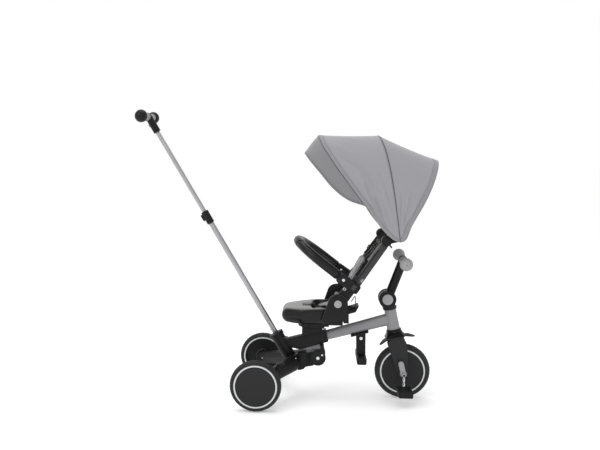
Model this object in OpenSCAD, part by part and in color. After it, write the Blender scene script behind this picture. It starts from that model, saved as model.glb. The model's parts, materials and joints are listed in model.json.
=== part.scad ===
// Children's push tricycle: three wheels, a swivel seat with reclining back and fan canopy,
// a telescopic push pole and a rear frame that folds under.
// Lengths in mm, +Z up, +X towards the front wheel, +Y to the tricycle's left.
// Inside place() the rear axles stand at X = 0, and the ground is Z = 0.

/* [Wheels] */
// Rear wheel diameter
rear_wheel_d = 190; // [186:1:194]
// Front wheel diameter
front_wheel_d = 211; // [207:1:213]
// Tyre width
tyre_w = 38; // [36:1:40]
// Distance between the middles of the rear tyres
rear_track = 445; // [441:1:450]
// Distance from the rear axles to the front axle
wheelbase = 551; // [548:1:554]

/* [Frame] */
// Width of the oval main tube
main_tube_w = 32; // [30:1:34]
// Lean of the steering axis from upright, in degrees
head_lean = 11; // [10:0.5:12]
// Length of the head tube
head_tube_l = 78; // [76:1:79]
// Radius of the steering shaft
steerer_r = 14; // [12:0.5:15]

/* [Push pole] */
// Lean of the push pole from upright, in degrees
pole_lean = 30.6; // [30:0.1:31.2]
// Radius of the lower pole tube
pole_lower_r = 10.5; // [10:0.1:11]
// Radius of the upper pole tube
pole_upper_r = 8.5; // [8:0.1:8.5]
// Distance from the socket's mouth to the handle, fully drawn out
pole_reach = 974; // [960:1:980]
// Half the distance between the handle's end knobs
handle_half_w = 114; // [110:1:120]

/* [Seat] */
// Distance from the rear axles to the swivel's axis
swivel_x = 208; // [206:1:210]
// Outer half width over the seat's side brackets
bracket_y = 121; // [119:1:121]
// Lean of the backrest from upright, in degrees
back_lean = 34; // [32:1:35]
// Half the distance between the backrest's arms
arm_y = 125; // [124:1:126]
// Radius of the padded bumper bar
bumper_r = 18; // [15:0.5:18]

/* [Canopy] */
// Radius of the canopy's bows
bow_r = 2.4; // [2:0.1:2.4]
// Thickness of the canopy's fabric
fabric_t = 2.5; // [2:0.5:3]

/* [Hidden] */

$fn = 48;
hull_fn = 32;

// Colours
ink = [0.13, 0.13, 0.13];
graphite = [0.19, 0.19, 0.20];
frame_grey = [0.51, 0.51, 0.53];
trim_grey = [0.55, 0.55, 0.57];
cloth_grey = [0.60, 0.60, 0.62];
steel = [0.75, 0.76, 0.77];

// Clearances
run_fit = 0.06;
gap = 0.4;

// Wheels and axles
rear_r = rear_wheel_d / 2;
front_r = front_wheel_d / 2;
rear_y = rear_track / 2;
tyre_crown_r = 24;
tyre_depth_rear = 15;
tyre_depth_front = 19.5;
rim_inset = 2;
stub_r = 5;
axle_r = 6;
crank_l = 54;
crank_y = 70;
pedal_y = 113;
pedal_size = [54, 74, 24];
pedal_wall = 4;
leg_end_y = 196;

// Steering: head tube's top centre, and the folding handlebar's hinge and cross bar
head_x = 501;
head_z = 345;
bar_hinge = [489.5, 386];
bar_top = [545, 537];
bar_hub_r = 33;
bar_pin_r = 8;
bar_knuckle_y = 14.6;
bar_hub_y = 30;
bar_cap_r = 20;
grip_y = 140;
grip_ball_r = 24;
crossbar_r = 11;

// Rear fold hinge
fold_at = [227, 157];
fold_ear_r = 30;
fold_pin_r = 6;
yoke_y = 32;
yoke_end_y = 46;
ear_y = [33, 45];

// Footrest hinge
foot_at = [391.5, 232];
foot_pin_r = 4;
lug_y = 10;
foot_slot_r = 22.6;
cheek_in = 17.5;

// Push pole
pole_foot = [63, 243];
socket_r = 25;
socket_l = 103;
pole_in = 94;
collar_z = [497, 549];
lower_top = 522;
upper_bottom = 420;
upper_top = 930;
handle_core_r = 9;
handle_at = [-4, pole_reach];
grip_end = 18;

// Seat
plate_z = [276.4, 296];
plate_r = 58;
spindle_r = 9;
recline_at = [299, 383];
bracket_t = 10;
cheek_y = [102, 110.6];
lock_at = [330, 338];
lock_r = 4;
flange = [[252, 302], [252, 314], [318, 314], [318, 302]];

// Backrest parts, in the backrest's own frame: [across the back, up the back]
arm_x = 14;
arm_w = 26;
arm_top = 283;
clamp_x = [-60, 32];
clamp_z = [69, 105];
bumper_at = [-37, 88.5];
bumper_tilt = 3.5;
bumper_leg = 87;
canopy_hub_at = [10, 296];

// Canopy: pivot, and the top of each bow with its bulge and half width
canopy_at = [519, 630];
canopy_from = canopy_at - recline_at;
canopy_pivot = [canopy_from[0] * cos(back_lean) - canopy_from[1] * sin(back_lean),
    canopy_from[0] * sin(back_lean) + canopy_from[1] * cos(back_lean)];
visor_top = [171, 940];
front_top = [224, 1005];
mid_top = [445, 1001];
rear_top = [660, 911];
visor_bulge = 26;
front_bulge = 18;
mid_bulge = -10;
rear_bulge = -14;
front_eye_y = 157.2;
mid_eye_y = 152.2;
rear_eye_y = 147.2;
eye_t = 4.4;
pin_r = 4;
bow_steps = 28;
bow_start = 0.27;
cloth_start = 3.5;
cloth_lift = 3.6;

// The origin stands under the middle of the whole tricycle
back_end_x = pole_foot[0] - pole_reach * sin(pole_lean) + handle_at[0] * cos(pole_lean) - grip_ball_r;
front_end_x = 662.7;
middle_x = (back_end_x + front_end_x) / 2;

// ---------- placing ----------

module place() {
    translate([-middle_x, 0, 0]) children();
}

module both_sides() {
    children();
    mirror([0, 1, 0]) children();
}

// A side view outline at y0, made y1 - y0 deep along +Y
module slab(y0, y1) {
    translate([0, y1, 0]) rotate([90, 0, 0]) linear_extrude(y1 - y0) children();
}

// A cylinder along Y at a side view point
module across(at, r, y0, y1) {
    translate([at[0], y0, at[1]]) rotate([-90, 0, 0]) cylinder(r = r, h = y1 - y0);
}

module rounded_rect(w, h, r) {
    square([w - 2 * r, h], center = true);
    square([w, h - 2 * r], center = true);
    for (sx = [-1, 1], sy = [-1, 1]) {
        translate([sx * (w / 2 - r), sy * (h / 2 - r)]) circle(r);
    }
}

module on_head() {
    translate([head_x, 0, head_z]) rotate([0, -head_lean, 0]) children();
}

module on_pole() {
    translate([pole_foot[0], 0, pole_foot[1]]) rotate([0, -pole_lean, 0]) children();
}

module on_back() {
    translate([recline_at[0], 0, recline_at[1]]) rotate([0, back_lean, 0]) children();
}

module on_bumper() {
    on_back() translate([bumper_at[0], 0, bumper_at[1]]) rotate([0, bumper_tilt, 0])
        children();
}

// ---------- frame ----------

function tube_top(x) = 257 + (x - 257) * 0.3037;
function tube_bottom(x) = 220 + (x - 266) * 0.2648;

// The main tube's oval outside from x0 to x1, made smaller by inset
module main_tube(x0, x1, inset) {
    r = main_tube_w / 2;
    hull() {
        for (x = [x0, x1]) {
            for (z = [tube_top(x) - r, tube_bottom(x) + r]) {
                translate([x, 0, z]) rotate([0, 90, 0]) cylinder(r = r - inset, h = 1, $fn = hull_fn);
            }
        }
    }
}

module main_frame() {
    color(frame_grey) place() difference() {
        union() {
            main_tube(130, 500, 0);
            on_head() translate([0, 0, -head_tube_l]) cylinder(r1 = 25, r2 = 22.5, h = head_tube_l);
        }
        main_tube(129, 478, 2);
        on_head() translate([0, 0, -head_tube_l - 1])
            cylinder(r = steerer_r + run_fit, h = head_tube_l + 2);
    }
}

module rear_sleeve() {
    color(ink) place() difference() {
        union() {
            slab(-21, 21) polygon([[257, 261], [267, 216], [158, 183], [116, 192], [84, 232], [112, 223]]);
            on_pole() translate([0, 0, -socket_l]) cylinder(r = socket_r, h = socket_l);
            on_pole() translate([0, 0, -14]) cylinder(r = socket_r + 2.5, h = 14);
        }
        main_tube(129.8, 500, -0.2);
        on_pole() translate([0, 0, -pole_in - 1]) cylinder(r = pole_lower_r + run_fit, h = pole_in + 2);
    }
}

module swivel_base() {
    color(ink) place() difference() {
        slab(-30, 30) polygon([[165, 237.5], [250, 259.7], [250, 276], [165, 276]]);
        translate([swivel_x, 0, 230]) cylinder(r = spindle_r + 0.05, h = 60);
    }
}

module hinge_bracket() {
    color(ink) place() difference() {
        union() {
            both_sides() slab(ear_y[0], ear_y[1]) {
                translate(fold_at) circle(fold_ear_r);
                polygon([[234, 160], [236, 204.6], [247, 207.8], [256, 157]]);
            }
            slab(-ear_y[1], ear_y[1]) polygon([[236, 196], [236, 205.6], [247, 208.8], [247, 199]]);
        }
        across(fold_at, fold_pin_r + run_fit, -60, 60);
        across(fold_at + [16, 12], 3.5, -60, 60);
    }
}

module pin_with_heads(at, r, head_r, y) {
    across(at, r, -y, y);
    both_sides() across(at, head_r, y, y + 2.5);
}

module frame_pins() {
    color(steel) place() {
        pin_with_heads(fold_at, fold_pin_r, 6.2, ear_y[1] + 0.1);
        both_sides() across(fold_at + [16, 12], 3.5, ear_y[0] + 0.2, ear_y[1] + 2);
        pin_with_heads(foot_at, foot_pin_r, 6, cheek_in + 2.5);
        // The swivel's spindle stands on the same frame
        translate([swivel_x, 0, 252]) cylinder(r = spindle_r, h = 50.5);
    }
}

module frame_brace() {
    color(trim_grey) place() slab(-14, 14)
        polygon([[157, 180], [200, 185.5], [235.6, 185.5], [235.6, 204.8], [160, 182.2]]);
}

module footrest_bracket() {
    color(ink) place() difference() {
        union() {
            slab(-20, 20) polygon([[353, 242.5], [420, 260.2], [420, 253], [353, 235.5]]);
            slab(-lug_y, lug_y) {
                translate(foot_at) circle(11);
                polygon([[380, 232], [403, 232], [403, 250], [380, 244]]);
            }
            // Cheeks over the fold's pin
            both_sides() slab(cheek_in, cheek_in + 2.4)
                polygon([[374, 216], [374, 242], [409, 251], [409, 216]]);
        }
        across(foot_at, foot_pin_r + 0.05, -30, 30);
    }
}

module footrest() {
    color(ink) place() difference() {
        union() {
            slab(-17, 17) {
                translate(foot_at) circle(12.5);
                polygon([[379, 232], [404, 232], [409, 220], [410, 156], [375, 156], [374, 220]]);
            }
            slab(-75, 75) translate([392.5, 156]) rounded_rect(37, 28, 7);
        }
        across(foot_at, foot_pin_r + run_fit, -30, 30);
        slab(-lug_y - gap, lug_y + gap) {
            translate(foot_at) circle(foot_slot_r);
            polygon([[360, 232], [425, 232], [425, 250], [360, 250]]);
        }
    }
}

// ---------- steering ----------

// Centre, radius and half width of the mudguard's arc
guard_at = [558, 118];
guard_r = 132;
guard_half_w = 26.5;

module fork_leg() {
    hull() {
        across([527, 216], 29, 27, 40);
        across([531, 206], 35, 27, 40);
        across([551.5, 101], 19, 29, 41);
    }
}

// Flared collar at the top of the fork. Each ring: depth under the head tube, half width along X and along Y
crown_rings = [[0.4, 27, 27], [4, 27.2, 28], [10, 28.5, 36], [17, 31, 41], [25, 35, 43.5], [29, 36.8, 44.4],
    [31, 34.6, 42.8], [44, 34.2, 42.4]];

module crown_ring(r) {
    translate([0, 0, -head_tube_l - r[0]]) scale([r[1], r[2], 1]) cylinder(r = 1, h = 0.3, $fn = hull_fn);
}

module fork_crown() {
    difference() {
        on_head() for (i = [1 : len(crown_rings) - 1]) {
            hull() {
                crown_ring(crown_rings[i - 1]);
                crown_ring(crown_rings[i]);
            }
        }
        // The mudguard passes through under the crown
        slab(-guard_half_w - gap, guard_half_w + gap) {
            translate(guard_at) circle(guard_r + gap, $fn = 120);
        }
    }
}

module fork() {
    color(ink) place() difference() {
        union() {
            on_head() translate([0, 0, -head_tube_l - 14]) cylinder(r = steerer_r, h = head_tube_l + 21);
            fork_crown();
            both_sides() fork_leg();
        }
        across([wheelbase, front_r], axle_r + run_fit, -50, 50);
    }
}

module mudguard() {
    color(ink) place() slab(-guard_half_w, guard_half_w) intersection() {
        difference() {
            translate(guard_at) circle(guard_r, $fn = 120);
            translate(guard_at + [0, -6]) circle(guard_r - 1, $fn = 120);
        }
        polygon([guard_at, [470, 204], [470, 290], [600, 290], [594, 246]]);
    }
}

module bar_hub() {
    color(ink) place() difference() {
        union() {
            on_head() translate([0, 0, gap]) cylinder(r1 = 26, r2 = 27, h = 12);
            intersection() {
                on_head() translate([0, 0, 6]) cylinder(r = 27, h = 46);
                slab(-40, 40) polygon([[440, 340], [540, 340], [540, 372], [440, 372]]);
            }
            both_sides() across(bar_hinge, bar_hub_r, bar_knuckle_y + gap, bar_hub_y);
        }
        on_head() translate([0, 0, -1]) cylinder(r = steerer_r + 0.05, h = 8.1);
        // Slot that the stem folds down into
        slab(-bar_knuckle_y - gap, bar_knuckle_y + gap) {
            translate(bar_hinge) circle(bar_hub_r + gap);
            polygon([[bar_hinge[0], 359], [540, 359], [540, 420], [bar_hinge[0], 420]]);
        }
        both_sides() across(bar_hinge, bar_cap_r + 0.3, bar_hub_y - 7, bar_hub_y + 1);
    }
    color(ink) place() across(bar_hinge, bar_pin_r, -bar_hub_y + 7.5, bar_hub_y - 7.5);
}

module axle_clamps() {
    color(trim_grey) place() both_sides() difference() {
        union() {
            across([wheelbase, front_r], 12, 41.3, 60);
            slab(44, 58) hull() {
                translate([wheelbase, front_r]) circle(10, $fn = hull_fn);
                translate([542, 143]) circle(10, $fn = hull_fn);
            }
        }
        across([wheelbase, front_r], axle_r + run_fit, 40, 62);
    }
}

stem_vec = bar_top - bar_hinge;
stem_len = norm(stem_vec);
stem_lean = atan2(stem_vec[0], stem_vec[1]);

module handlebar() {
    color(ink) place() difference() {
        union() {
            across(bar_hinge, bar_hub_r - 1, -bar_knuckle_y, bar_knuckle_y);
            translate([bar_hinge[0], 0, bar_hinge[1]]) rotate([0, stem_lean, 0]) {
                translate([3, 0, 0]) linear_extrude(stem_len) rounded_rect(34, 28, 11);
            }
            across(bar_top, 17, -24, 24);
            across(bar_top, crossbar_r, -130, 130);
        }
        across(bar_hinge, bar_pin_r + run_fit, -40, 40);
    }
}

module bar_grips() {
    color(trim_grey) place() both_sides() difference() {
        union() {
            across(bar_top, 14.5, 26, 124);
            for (y = [34 : 12 : 112]) across(bar_top, 16.5, y, y + 6);
            translate([bar_top[0], grip_y, bar_top[1]]) sphere(grip_ball_r);
        }
        across(bar_top, crossbar_r, 20, 130);
    }
}

module bar_button() {
    across(bar_hinge, bar_cap_r, bar_hub_y - 3.5, bar_hub_y + 3);
}

module bar_button_left() {
    color(trim_grey) place() bar_button();
}

module bar_button_right() {
    color(trim_grey) place() mirror([0, 1, 0]) bar_button();
}

// ---------- wheels ----------

// A tyre round Y at the origin: a crowned band from the rim out to r
module tyre(r, depth) {
    rotate([90, 0, 0]) rotate_extrude($fn = 96) intersection() {
        translate([r - tyre_crown_r, 0]) circle(tyre_crown_r);
        translate([r - depth, -tyre_w / 2]) square([depth + 1, tyre_w]);
    }
}

// A wheel's disc round Y: barrel, one or two faces, hub, and the raised ring on each face
module rim(r, depth, bore_r, faces, hub_r, hub_y) {
    out = r - depth - 0.05;
    half = tyre_w / 2 - rim_inset;
    rotate([90, 0, 0]) difference() {
        union() {
            rotate_extrude($fn = 96) translate([out - 6, -half]) square([6, 2 * half]);
            for (s = faces) {
                translate([0, 0, s > 0 ? half - 4.5 : -half]) cylinder(r = out, h = 4.5, $fn = 96);
                rotate_extrude($fn = 96)
                    translate([out - 6.6, s > 0 ? half - 1 : -half - 1]) square([4.4, 2]);
            }
            translate([0, 0, hub_y[0]]) cylinder(r = hub_r, h = hub_y[1] - hub_y[0]);
        }
        translate([0, 0, -60]) cylinder(r = bore_r, h = len(faces) > 1 ? 120 : 60 + half - 6);
    }
}

module at_front_axle() {
    translate([wheelbase, 0, front_r]) children();
}

module front_tyre() {
    color(ink) place() at_front_axle() tyre(front_r, tyre_depth_front);
}

module front_rim() {
    color(graphite) place() at_front_axle()
        rim(front_r, tyre_depth_front, axle_r + 0.05, [-1, 1], 18, [-24, 24]);
}

// Half of the crank axle on the -Y side, its arm turned down
module crank_side() {
    across([0, 0], axle_r, -crank_y, 0);
    translate([0, -crank_y, 0]) sphere(axle_r);
    translate([0, -crank_y, -crank_l]) cylinder(r = axle_r, h = crank_l);
    translate([0, -crank_y, -crank_l]) sphere(axle_r);
    across([0, -crank_l], axle_r - 0.5, -pedal_y - pedal_size[1] / 2 + pedal_wall + gap, -crank_y);
}

module crank_axle() {
    color(steel) place() at_front_axle() {
        crank_side();
        rotate([0, 0, 180]) mirror([0, 0, 1]) crank_side();
    }
}

// A pedal at the origin, its closed end at -Y
module pedal() {
    difference() {
        rotate([90, 0, 0]) linear_extrude(pedal_size[1], center = true)
            rounded_rect(pedal_size[0], pedal_size[2], 6);
        across([0, 0], axle_r - 0.5 + run_fit, pedal_wall - pedal_size[1] / 2, pedal_size[1]);
        for (y = [-22, 0, 22]) {
            for (z = [-12, 12]) {
                translate([0, y, z]) cube([40, 8, 6], center = true);
            }
        }
    }
}

module pedal_left() {
    color(ink) place() at_front_axle() translate([0, pedal_y, crank_l]) mirror([0, 1, 0]) pedal();
}

module pedal_right() {
    color(ink) place() at_front_axle() translate([0, -pedal_y, -crank_l]) pedal();
}

module at_rear_wheel() {
    translate([0, rear_y, rear_r]) children();
}

module rear_tyre() {
    at_rear_wheel() tyre(rear_r, tyre_depth_rear);
}

// The open side of a rear wheel's disc faces the frame
module rear_rim() {
    at_rear_wheel() mirror([0, 1, 0])
        rim(rear_r, tyre_depth_rear, stub_r + run_fit, [1], 15, [-12, tyre_w / 2 - rim_inset]);
}

module rear_tyre_left() {
    color(ink) place() rear_tyre();
}

module rear_tyre_right() {
    color(ink) place() mirror([0, 1, 0]) rear_tyre();
}

module rear_rim_left() {
    color(graphite) place() rear_rim();
}

module rear_rim_right() {
    color(graphite) place() mirror([0, 1, 0]) rear_rim();
}

// ---------- folding rear frame ----------

module rear_yoke() {
    color(ink) place() difference() {
        union() {
            across(fold_at, 23, -yoke_y, yoke_y);
            slab(-yoke_y, yoke_y) polygon([[232, 135], [227, 176], [170, 174], [170, 116], [205, 122]]);
            slab(-yoke_end_y, yoke_end_y)
                polygon([[182, 178], [182, 122], [172, 112], [150, 107], [150, 173]]);
        }
        across(fold_at, fold_pin_r + run_fit, -60, 60);
    }
}

module rear_leg() {
    difference() {
        union() {
            hull() {
                across([128, 133], 27, 42, 66);
                across([14, 98], 24, 172, 190);
            }
            hull() {
                translate([149.5, 14, 139]) rotate([0, -90, 0]) cylinder(r = 30, h = 1, $fn = hull_fn);
                translate([149.5, 32, 139]) rotate([0, -90, 0]) cylinder(r = 30, h = 1, $fn = hull_fn);
                across([128, 133], 27, 42, 66);
            }
            across([0, rear_r], 24, 172, leg_end_y);
            across([0, rear_r], 12, leg_end_y, 209);
        }
        across([0, rear_r], stub_r, 150, 230);
        // Flat end that meets the yoke
        slab(-40, yoke_end_y + 0.1) polygon([[149.9, 90], [190, 90], [190, 190], [149.9, 190]]);
        // Slot beside the leg's end that the brake lever swings in
        translate([54, 178, 128]) cube([40, 14.6, 50], center = true);
    }
}

module rear_legs() {
    color(ink) place() both_sides() rear_leg();
}

module rear_axles() {
    color(steel) place() both_sides() {
        across([0, rear_r], stub_r, 175, rear_y + 9);
    }
}

brake_at = [56, 112];

module brake_lever() {
    difference() {
        slab(173.5, 184) {
            translate(brake_at) circle(8);
            polygon([[50, 112], [62, 112], [86, 158], [104, 166], [102, 173], [78, 168]]);
        }
        across(brake_at, 3 + run_fit, 160, 200);
    }
    slab(173.5, 198) polygon([[78, 162], [104, 167], [102, 174], [76, 169]]);
}

module brake_lever_left() {
    color(ink) place() brake_lever();
}

module brake_lever_right() {
    color(ink) place() mirror([0, 1, 0]) brake_lever();
}

// ---------- push pole ----------

module pole_lower() {
    color(trim_grey) place() on_pole() difference() {
        translate([0, 0, -pole_in]) cylinder(r = pole_lower_r, h = pole_in + lower_top);
        translate([0, 0, -pole_in - 1]) cylinder(r = pole_upper_r + run_fit, h = pole_in + lower_top + 2);
        translate([-6, 0, 20]) rotate([0, -90, 0]) cylinder(r = 3.6, h = 8);
    }
}

module pole_collar() {
    color(ink) place() on_pole() difference() {
        union() {
            translate([0, 0, collar_z[0]]) cylinder(r = 14.5, h = collar_z[1] - collar_z[0]);
            translate([-14, 0, (collar_z[0] + collar_z[1]) / 2 + 6]) cube([14, 14, 26], center = true);
        }
        translate([0, 0, collar_z[0] - 1])
            cylinder(r = pole_lower_r + 0.05, h = lower_top - collar_z[0] + 1.1);
        translate([0, 0, collar_z[0]]) cylinder(r = pole_upper_r + run_fit, h = 60);
    }
}

module pole_upper() {
    color(trim_grey) place() on_pole() difference() {
        translate([0, 0, upper_bottom]) cylinder(r = pole_upper_r, h = upper_top - upper_bottom);
        translate([0, 0, upper_bottom - 1])
            cylinder(r = pole_upper_r - 1.6, h = upper_top - upper_bottom + 2);
    }
}

module handle_clamp() {
    color(ink) place() on_pole() difference() {
        union() {
            translate([0, 0, 905]) cylinder(r = 14, h = pole_reach - 908);
            across(handle_at, 16.5, -7, 7);
            across(handle_at, handle_core_r, -handle_half_w, handle_half_w);
        }
        translate([0, 0, 904]) cylinder(r = pole_upper_r, h = upper_top - 904);
        translate([-16, 0, 940]) rotate([0, 90, 0]) cylinder(r = 5.3, h = 9);
    }
}

module handle_grip() {
    color(trim_grey) place() on_pole() both_sides() difference() {
        union() {
            across(handle_at, 13.6, 7.4, handle_half_w - grip_end);
            for (y = [10 : 8 : 82]) across(handle_at, 14.8, y, y + 4);
        }
        across(handle_at, handle_core_r + 0.05, 6, 130);
        // Room for the clamp's round stem under the bar
        translate([0, 0, 900]) cylinder(r = 14.4, h = pole_reach - 902.6);
    }
}

module handle_ends() {
    color(ink) place() on_pole() both_sides() difference() {
        union() {
            translate([handle_at[0], handle_half_w, pole_reach]) sphere(grip_ball_r);
            across(handle_at, 17, handle_half_w - grip_end + 0.5, handle_half_w);
        }
        across(handle_at, handle_core_r + 0.05, 60, handle_half_w + 0.1);
        across(handle_at, 14.2, 60, handle_half_w - grip_end + 0.4);
    }
}

module handle_button() {
    color(trim_grey) place() on_pole() translate([-16.5, 0, 940]) rotate([0, 90, 0])
        cylinder(r = 5, h = 6);
}

module pole_button() {
    color(steel) place() on_pole() translate([-13, 0, 20]) rotate([0, 90, 0])
        cylinder(r = 3.5, h = 6.5);
}

// ---------- seat ----------

module swivel_plate() {
    color(ink) place() difference() {
        union() {
            translate([swivel_x, 0, plate_z[0]]) cylinder(r = plate_r, h = plate_z[1] - plate_z[0]);
            slab(-46, 46) polygon([[208, 283], [268, 279], [268, 296], [208, 296]]);
        }
        translate([swivel_x, 0, 260]) cylinder(r = spindle_r + run_fit, h = 50);
    }
}

buckle_at = [186, 354];
buckle_tilt = 6;
buckle_half_w = 19;

module seat_shell() {
    color(ink) place() difference() {
        hull() {
            for (s = [-1, 1]) {
                translate([116, s * 52, 326]) sphere(r = 29, $fn = hull_fn);
                translate([170, s * 80, 325]) sphere(r = 27, $fn = hull_fn);
                translate([176, s * 84, 330]) cylinder(r = 23, h = 25, $fn = hull_fn);
                translate([235, s * 86, 322]) cylinder(r = 24, h = 38, $fn = hull_fn);
                translate([290, s * 86, 330]) cylinder(r = 10, h = 32, $fn = hull_fn);
                translate([150, s * 60, 297]) cylinder(r = 20, h = 4, $fn = hull_fn);
                translate([292, s * 72, 297]) cylinder(r = 14, h = 4, $fn = hull_fn);
            }
        }
        hull() {
            for (s = [-1, 1]) {
                translate([223, s * 43, 347]) sphere(r = 20, $fn = hull_fn);
                translate([230, s * 60, 350]) sphere(r = 24, $fn = hull_fn);
                translate([330, s * 60, 350]) sphere(r = 24, $fn = hull_fn);
                translate([223, s * 52, 390]) sphere(r = 10, $fn = hull_fn);
                translate([230, s * 92, 400]) sphere(r = 10, $fn = hull_fn);
                translate([330, s * 92, 400]) sphere(r = 10, $fn = hull_fn);
            }
        }
        // Slots over the side brackets' flanges
        both_sides() slab(69.9, bracket_y)
            polygon([for (p = flange) p + [p[0] > 300 ? 0.1 : -0.1, p[1] > 310 ? 0.1 : -0.1]]);
        // Pocket that the harness buckle rests in
        slab(-buckle_half_w - 0.5, buckle_half_w + 0.5) {
            translate(buckle_at) rotate(buckle_tilt) translate([0, 8]) rounded_rect(35, 27, 4);
        }
        // Pocket over the spindle's head
        translate([swivel_x, 0, 290]) cylinder(r = spindle_r + 2, h = 16);
    }
}

module seat_pad() {
    color(cloth_grey) place() hull() {
        for (s = [-1, 1]) {
            translate([215, s * 40, 340]) sphere(r = 8, $fn = hull_fn);
            translate([240, s * 54, 343]) sphere(r = 10, $fn = hull_fn);
            translate([290, s * 56, 345]) sphere(r = 12, $fn = hull_fn);
        }
    }
}

module bracket_outline() {
    translate(recline_at) circle(37);
    polygon([[237, 313], [262, 384], [336, 384], [338, 318]]);
}

module side_brackets() {
    color(ink) place() both_sides() difference() {
        union() {
            slab(bracket_y - bracket_t, bracket_y) bracket_outline();
            slab(70, bracket_y - 1) polygon(flange);
            across(lock_at, lock_r, -1, bracket_y - 1);
        }
        across(recline_at, 8 + run_fit, 100, 130);
    }
}

module recline_caps() {
    color(trim_grey) place() both_sides() union() {
        across(recline_at, 8, cheek_y[0] + 0.4, bracket_y);
        across(recline_at, 14, bracket_y + 0.1, bracket_y + 3);
    }
}

module seat_lock() {
    color(ink) place() difference() {
        union() {
            slab(-12, 12) polygon([[324, 287], [345, 287], [344, 322], [352, 334], [336, 346], [322, 338]]);
            slab(-40, 40) polygon([[338, 345], [346, 330], [369, 337], [381, 360], [366, 354]]);
        }
        across(lock_at, lock_r + run_fit, -20, 20);
    }
}

module harness_buckle() {
    color(ink) place() {
        slab(-buckle_half_w, buckle_half_w) translate(buckle_at) rotate(buckle_tilt) rounded_rect(34, 10, 4);
    }
}

// ---------- backrest ----------

module backrest_frame() {
    color(ink) place() on_back() {
        difference() {
            union() {
                both_sides() slab(cheek_y[0], cheek_y[1]) {
                    circle(30);
                    polygon([[-22, 10], [26, 10], [28, 125], [-6, 125]]);
                }
                both_sides() translate([arm_x, arm_y, clamp_z[1] + 0.5]) {
                    linear_extrude(arm_top - clamp_z[1] - 0.5) rounded_rect(arm_w, arm_w, 6);
                }
                both_sides() slab(108, arm_y) polygon([[4, 106], [26, 106], [26, 124], [4, 124]]);
                across([arm_x, 268], 9, -arm_y, arm_y);
                across([arm_x, 118], 9, -cheek_y[0], cheek_y[0]);
            }
            across([0, 0], 8 + run_fit, 90, 120);
            across([0, 0], 8 + run_fit, -120, -90);
        }
    }
}

module backrest_shell() {
    color(ink) place() on_back() difference() {
        hull() {
            for (s = [-1, 1]) {
                translate([2, s * 78, 32]) rotate([0, 90, 0]) cylinder(r = 16, h = 6, $fn = hull_fn);
                translate([0, s * 82, 150]) rotate([0, 90, 0]) cylinder(r = 16, h = 10, $fn = hull_fn);
                translate([2, s * 76, 190]) rotate([0, 90, 0]) cylinder(r = 18, h = 7, $fn = hull_fn);
            }
        }
        across([arm_x, 118], 9.3, -120, 120);
    }
}

module backrest_pad() {
    color(cloth_grey) place() on_back() hull() {
        for (s = [-1, 1]) {
            translate([-7.5, s * 60, 48]) sphere(r = 7.5, $fn = hull_fn);
            translate([-10, s * 66, 120]) sphere(r = 9, $fn = hull_fn);
            translate([-8.5, s * 58, 190]) sphere(r = 8.5, $fn = hull_fn);
        }
    }
}

module shoulder_straps() {
    color(ink) place() on_back() both_sides()
        translate([-21.6, 26, 60]) cube([2, 24, 134]);
}

module canopy_brackets() {
    hub = canopy_hub_at;
    color(ink) place() on_back() both_sides() difference() {
        union() {
            across(hub, 19, 113, 143.5);
            hull() {
                across(hub, 12, 132, 143.5);
                across(canopy_pivot, 9, 132, 143.5);
            }
            across(hub, 14, 143.5, 149);
            across(canopy_pivot, pin_r, 143, 161.8);
            across(canopy_pivot, 7, 160.2, 162.5);
            slab(134, 142) translate(hub + [22, -8]) rotate(-16) rounded_rect(16, 6, 2.8);
        }
        translate([arm_x, arm_y, 200]) linear_extrude(arm_top - 200 + 0.2) rounded_rect(arm_w, arm_w, 6);
    }
}

module bumper_clamps() {
    mid = [(clamp_x[0] + clamp_x[1]) / 2, (clamp_z[0] + clamp_z[1]) / 2];
    color(ink) place() on_back() both_sides() difference() {
        slab(111.2, 142.5) translate(mid) rounded_rect(clamp_x[1] - clamp_x[0], clamp_z[1] - clamp_z[0], 9);
        // Mouth that the bar's root turns in
        slab(115, 137) polygon([[-62, 60], [-20, 60], [-20, 110], [-62, 110]]);
        across(bumper_at, 5 + run_fit, 100, 150);
        slab(136, 144) translate([10, 87]) rounded_rect(16.6, 20.6, 3);
    }
}

module bumper_root() {
    difference() {
        union() {
            across([0, 0], 15, 116, 136);
            slab(116, 136) polygon([[0, -14], [0, 14], [-30, 14], [-30, -14]]);
        }
        across([0, 0], 5, 100, 150);
    }
    across([0, 0], 5, 112, 144.5);
}

module bumper_bar() {
    color(ink) place() on_bumper() both_sides() union() {
        bumper_root();
        translate([-28, 126, 0]) rotate([0, -90, 0]) cylinder(r = bumper_r, h = bumper_leg - 28);
        translate([-bumper_leg, 0, 0]) rotate([0, 0, 90])
            rotate_extrude(angle = 90, $fn = 64) translate([126, 0]) circle(bumper_r);
    }
}

module bumper_button() {
    on_back() slab(138.5, 144) translate([10, 87]) rounded_rect(16, 20, 3);
}

module bumper_button_left() {
    color(graphite) place() bumper_button();
}

module bumper_button_right() {
    color(graphite) place() mirror([0, 1, 0]) bumper_button();
}

// ---------- canopy ----------

function unit(v) = v / norm(v);

// A point of a bow: a = 0 at the right pivot, 90 at the top, 180 at the left pivot
function bow_point(top, bulge, half_w, a) =
    let (h = pow(sin(a), 0.8), side = cos(a) < 0 ? 1 : -1,
        along = top - canopy_at, across_v = unit([-along[1], along[0]]),
        p = canopy_at + h * along + 6.75 * h * h * (1 - h) * bulge * across_v)
    [p[0], side * half_w * pow(abs(cos(a)), 0.5), p[1]];

function bow_path(top, bulge, half_w, a0) =
    [for (i = [0 : bow_steps]) bow_point(top, bulge, half_w, a0 + (180 - 2 * a0) * i / bow_steps)];

function tangent(path, i) = unit(path[min(i + 1, len(path) - 1)] - path[max(i - 1, 0)]);

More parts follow.
